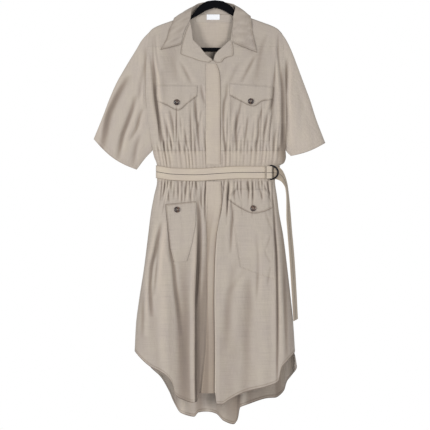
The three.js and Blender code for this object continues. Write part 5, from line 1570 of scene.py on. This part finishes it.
# %% Stitches along each sewn edge
SEWN_EDGES = {
    "lapel_left": ["end", "last"], "lapel_right": ["end", "last"], "placket_bodice": ["start"],
    "placket_skirt": ["start"], "chest_pocket_left": ["start", "end"], "chest_pocket_right": ["start", "end"],
    "hip_pocket_left": ["first", "start", "end", "last"], "hip_pocket_right": ["start", "end", "last"],
    "chest_flap_left": ["first", "end", "last"], "chest_flap_right": ["first", "end", "last"],
    "hip_flap_right": ["end"], "skirt_front_left": ["last"], "skirt_front_right": ["last"],
}
sewn_front = [inset_line(outlines[name], edge, 8.0 if name.startswith("skirt") else 4.0)
              for name, edges in SEWN_EDGES.items() for edge in edges]
stitches("stitches_front", sewn_front, (0, -1, 0))
stitches("stitches_back_hem", [inset_line(outlines["skirt_back"], "last", 8.0)], (0, 1, 0))
cuffs = [inset_line(outlines[f"sleeve_{side}"], "last", 12.0) for side in ("left", "right")]
half = outlines["sleeve_left"].shape[1] // 2
stitches("stitches_cuff_front", [line[1:half] for line in cuffs], (0, -1, 0))
stitches("stitches_cuff_back", [line[half + 1:] for line in cuffs], (0, 1, 0))
collar_line = [inset_line(collar_out, edge, 4.5) for edge in ("end", "first", "last")]
on_front = (collar_line[0][:, 1] < -12) & (collar_line[0][:, 2] < HANGER_TOP - 75)
halfway = len(on_front) // 2
stitches("stitches_collar_front", [collar_line[0][:halfway][on_front[:halfway]],
                                   collar_line[0][halfway:][on_front[halfway:]]], (0, -1, 0))
on_back = collar_line[0][:, 1] > 10
stitches("stitches_collar_back", [collar_line[0][on_back]], (0, 1, 0))
belt_front = [inset_line(belt_out[:, :80], edge, 3.0) for edge in ("first", "last")]
belt_rear = [inset_line(belt_out[:, 84:160], edge, 3.0) for edge in ("first", "last")]
stitches("stitches_belt_front", belt_front, (0, -1, 0), thread)
stitches("stitches_belt_back", belt_rear, (0, 1, 0), thread)

# %% [markdown]
# ## Buttons
# Each button is a dished disc of dark horn with a raised rim and four holes, sewn on with crossed thread.
# Its face is a height over radius and angle, so the holes are soft dips in the same surface.

# %% Build the buttons
BUTTON = {"radius": 9.0, "thickness": 3.2, "shank": 0.4}
BUTTONS = [
    ("button_chest_left", -114.0, 309.0, FLAP_LIFT), ("button_chest_right", 107.0, 306.0, FLAP_LIFT),
    ("button_hip_left", -113.0, 629.0, POCKET_LIFT), ("button_hip_right", 114.0, 625.0, FLAP_LIFT),
]
rim_profile = smooth([0, 0.5, 0.62, 0.8, 0.93, 1.0], [0.60, 0.64, 0.72, 1.0, 0.85, 0.35])
HOLE_PLACE, HOLE_SIZE = 1.9, 0.95
for name, bx, bdown, lift in BUTTONS:
    radius, thick = BUTTON["radius"], BUTTON["thickness"]
    about = np.array([[0, 0], [1, 0], [-1, 0], [0, 1], [0, -1]]) * radius
    seat_depth = float(cloth_depth(FRONT, bx + about[:, 0], bdown + about[:, 1]).max()) + lift + CLOTH + 0.3
    r = np.concatenate([np.linspace(0.02, 0.5, 16), np.linspace(0.54, 1.0, 14)])[:, None]
    angle = np.linspace(0, 2 * np.pi, 56, endpoint=False)[None, :]
    dx, dz = r * radius * np.cos(angle), r * radius * np.sin(angle)
    hole = 0
    for hx, hz in ((1, 1), (1, -1), (-1, 1), (-1, -1)):
        gap = np.hypot(dx - hx * HOLE_PLACE, dz - hz * HOLE_PLACE)
        hole = hole + np.exp(-((gap / HOLE_SIZE) ** 4))
    height = rim_profile(r) * thick - 1.7 * hole
    front = np.stack(np.broadcast_arrays(bx + dx, -(seat_depth + height), HANGER_TOP - bdown + dz), -1)
    under = np.stack(np.broadcast_arrays(bx + dx * 0.97, -(seat_depth + 0 * height), HANGER_TOP - bdown + dz * 0.97), -1)
    count = front.shape[0] * front.shape[1]
    index = np.arange(count).reshape(front.shape[:2])
    index = np.hstack([index, index[:, :1]])
    quads = np.stack([index[:-1, :-1], index[:-1, 1:], index[1:, 1:], index[1:, :-1]], -1).reshape(-1, 4)
    rim = np.stack([index[-1, :-1], index[-1, 1:], index[-1, 1:] + count, index[-1, :-1] + count], -1)
    centres = np.array([[bx, -(seat_depth + 0.6 * thick), HANGER_TOP - bdown], [bx, -seat_depth, HANGER_TOP - bdown]])
    points = np.concatenate([front.reshape(-1, 3), under.reshape(-1, 3), centres])
    cap = np.stack([index[0, 1:], index[0, :-1], np.full(56, 2 * count)], -1)
    base = np.stack([index[0, :-1] + count, index[0, 1:] + count, np.full(56, 2 * count + 1)], -1)
    faces = [quads, quads[:, ::-1] + count, rim, cap, base]
    faces = faces if volume(points, faces) > 0 else [f[:, ::-1] for f in faces]
    made = finish_piece(f"{name}_horn", points, faces, sharp=70)
    dress(made, horn, [name])
    lines = []
    for sign in (1, -1):
        reach = np.linspace(-1, 1, 9)
        arc = -(seat_depth + 0.6 * thick + 0.5 * (1 - reach**2) - 0.9 * reach**4)
        lines.append(np.stack([bx + reach * HOLE_PLACE, arc, HANGER_TOP - bdown + sign * reach * HOLE_PLACE], -1))
    for k, line in enumerate(lines):
        seam_shade_and_thread = tube(f"{name}_thread_{k + 1}", line, 0.42, 8)
        dress(seam_shade_and_thread, thread)
print("buttons:", len(BUTTONS))

# %% [markdown]
# ## Hanger
# A slim flocked hanger carries the shoulders. Its body is one flat loop with soft edges: an arch at the neck, arms
# under the shoulders and a bar across. The wire hook is above the picture, and is finished as such hooks are.

# %% Hanger body and hook
HANGER_HALF = 2.5
HANGER_RIM = columns(("outX", "outDown", "inX", "inDown"), [
    (0, 0.3, 0, 23), (24, 3, 25, 31), (48, 17, 50, 46), (70, 48, 72, 58), (104, 57, 104, 71), (143, 71, 143, 85),
    (170, 81, 166, 96), (183, 90, 172, 102), (188, 99, 175, 108), (189, 118, 175, 124), (184, 136, 168, 137),
    (172, 150, 160, 141), (158, 155, 154, 143), (80, 155, 80, 143), (0, 155, 0, 143),
])
place_in_rim = np.arange(len(HANGER_RIM["outX"]), dtype=float)
v = np.linspace(0, place_in_rim[-1], 150)
right_rim = np.stack([straight(place_in_rim, HANGER_RIM[k])(v) for k in ("outX", "outDown", "inX", "inDown")], -1)
kernel = np.array([1, 2, 3, 2, 1]) / 9
padded_rim = np.concatenate([right_rim[2:0:-1] * [-1, 1, -1, 1], right_rim, right_rim[-2:-4:-1] * [-1, 1, -1, 1]])
right_rim = np.stack([np.convolve(padded_rim[:, k], kernel, "valid") for k in range(4)], -1)
loop_rim = np.concatenate([right_rim, right_rim[-2:0:-1] * [-1, 1, -1, 1]])
phi = np.linspace(0, 2 * np.pi, 20, endpoint=False)[None, :]
wide = np.sign(np.cos(phi)) * np.abs(np.cos(phi)) ** 0.6
deep = np.sign(np.sin(phi)) * np.abs(np.sin(phi)) ** 0.6
middle_x, middle_down = (loop_rim[:, 0] + loop_rim[:, 2]) / 2, (loop_rim[:, 1] + loop_rim[:, 3]) / 2
half_x, half_down = (loop_rim[:, 0] - loop_rim[:, 2]) / 2, (loop_rim[:, 1] - loop_rim[:, 3]) / 2
rings = np.stack(np.broadcast_arrays(
    middle_x[:, None] + half_x[:, None] * wide, HANGER_HALF * deep + 0 * half_x[:, None],
    HANGER_TOP - middle_down[:, None] - half_down[:, None] * wide), -1)
index = np.arange(rings.shape[0] * 20).reshape(-1, 20)
index = np.hstack([index, index[:, :1]])
index = np.vstack([index, index[:1]])
quads = np.stack([index[:-1, :-1], index[:-1, 1:], index[1:, 1:], index[1:, :-1]], -1).reshape(-1, 4)
points = rings.reshape(-1, 3)
quads = quads if volume(points, [quads]) > 0 else quads[:, ::-1]
dress(finish_piece("hanger_body_flocked", points, [quads], sharp=80), flock, ["hanger_body"])

HOOK_WIRE = 3.6
hook_route = rounded([(0, HANGER_TOP), (0, -58), (5, -47), (15, -35), (20, -20), (15, -5), (0, HOOK_WIRE / 2),
                      (-15, -5), (-20, -19), (-18, -30)], 9)
hook_path = np.stack([hook_route[:, 0], 0 * hook_route[:, 0], hook_route[:, 1]], -1)
end_round = np.minimum(1, 0.35 + 0.65 * np.sqrt(np.minimum(np.arange(len(hook_path))[::-1] / 4, 1)))
hook = tube("hanger_hook_wire", hook_path, HOOK_WIRE / 2 * end_round, 16)
dress(hook, steel, ["hanger_hook"])
print("hanger:", len(points), "points; hook:", len(hook_path), "rings")

# %% Floor
FLOOR_LEVEL, FLOOR_REACH = -1.62, 1.4
floor_mesh = bpy.data.meshes.new("floor")
floor_corners = [(x * FLOOR_REACH, y * FLOOR_REACH, FLOOR_LEVEL) for x, y in ((-1, -1), (1, -1), (1, 1), (-1, 1))]
floor_mesh.from_pydata(floor_corners, [], [(0, 1, 2, 3)])
floor = bpy.data.objects.new("floor", floor_mesh)
bpy.context.collection.objects.link(floor)
floor_material, floor_shader = new_material("pale_floor")
floor_shader.inputs["Base Color"].default_value = (0.86, 0.86, 0.86, 1)
floor_shader.inputs["Roughness"].default_value = 0.8
floor_mesh.materials.append(floor_material)

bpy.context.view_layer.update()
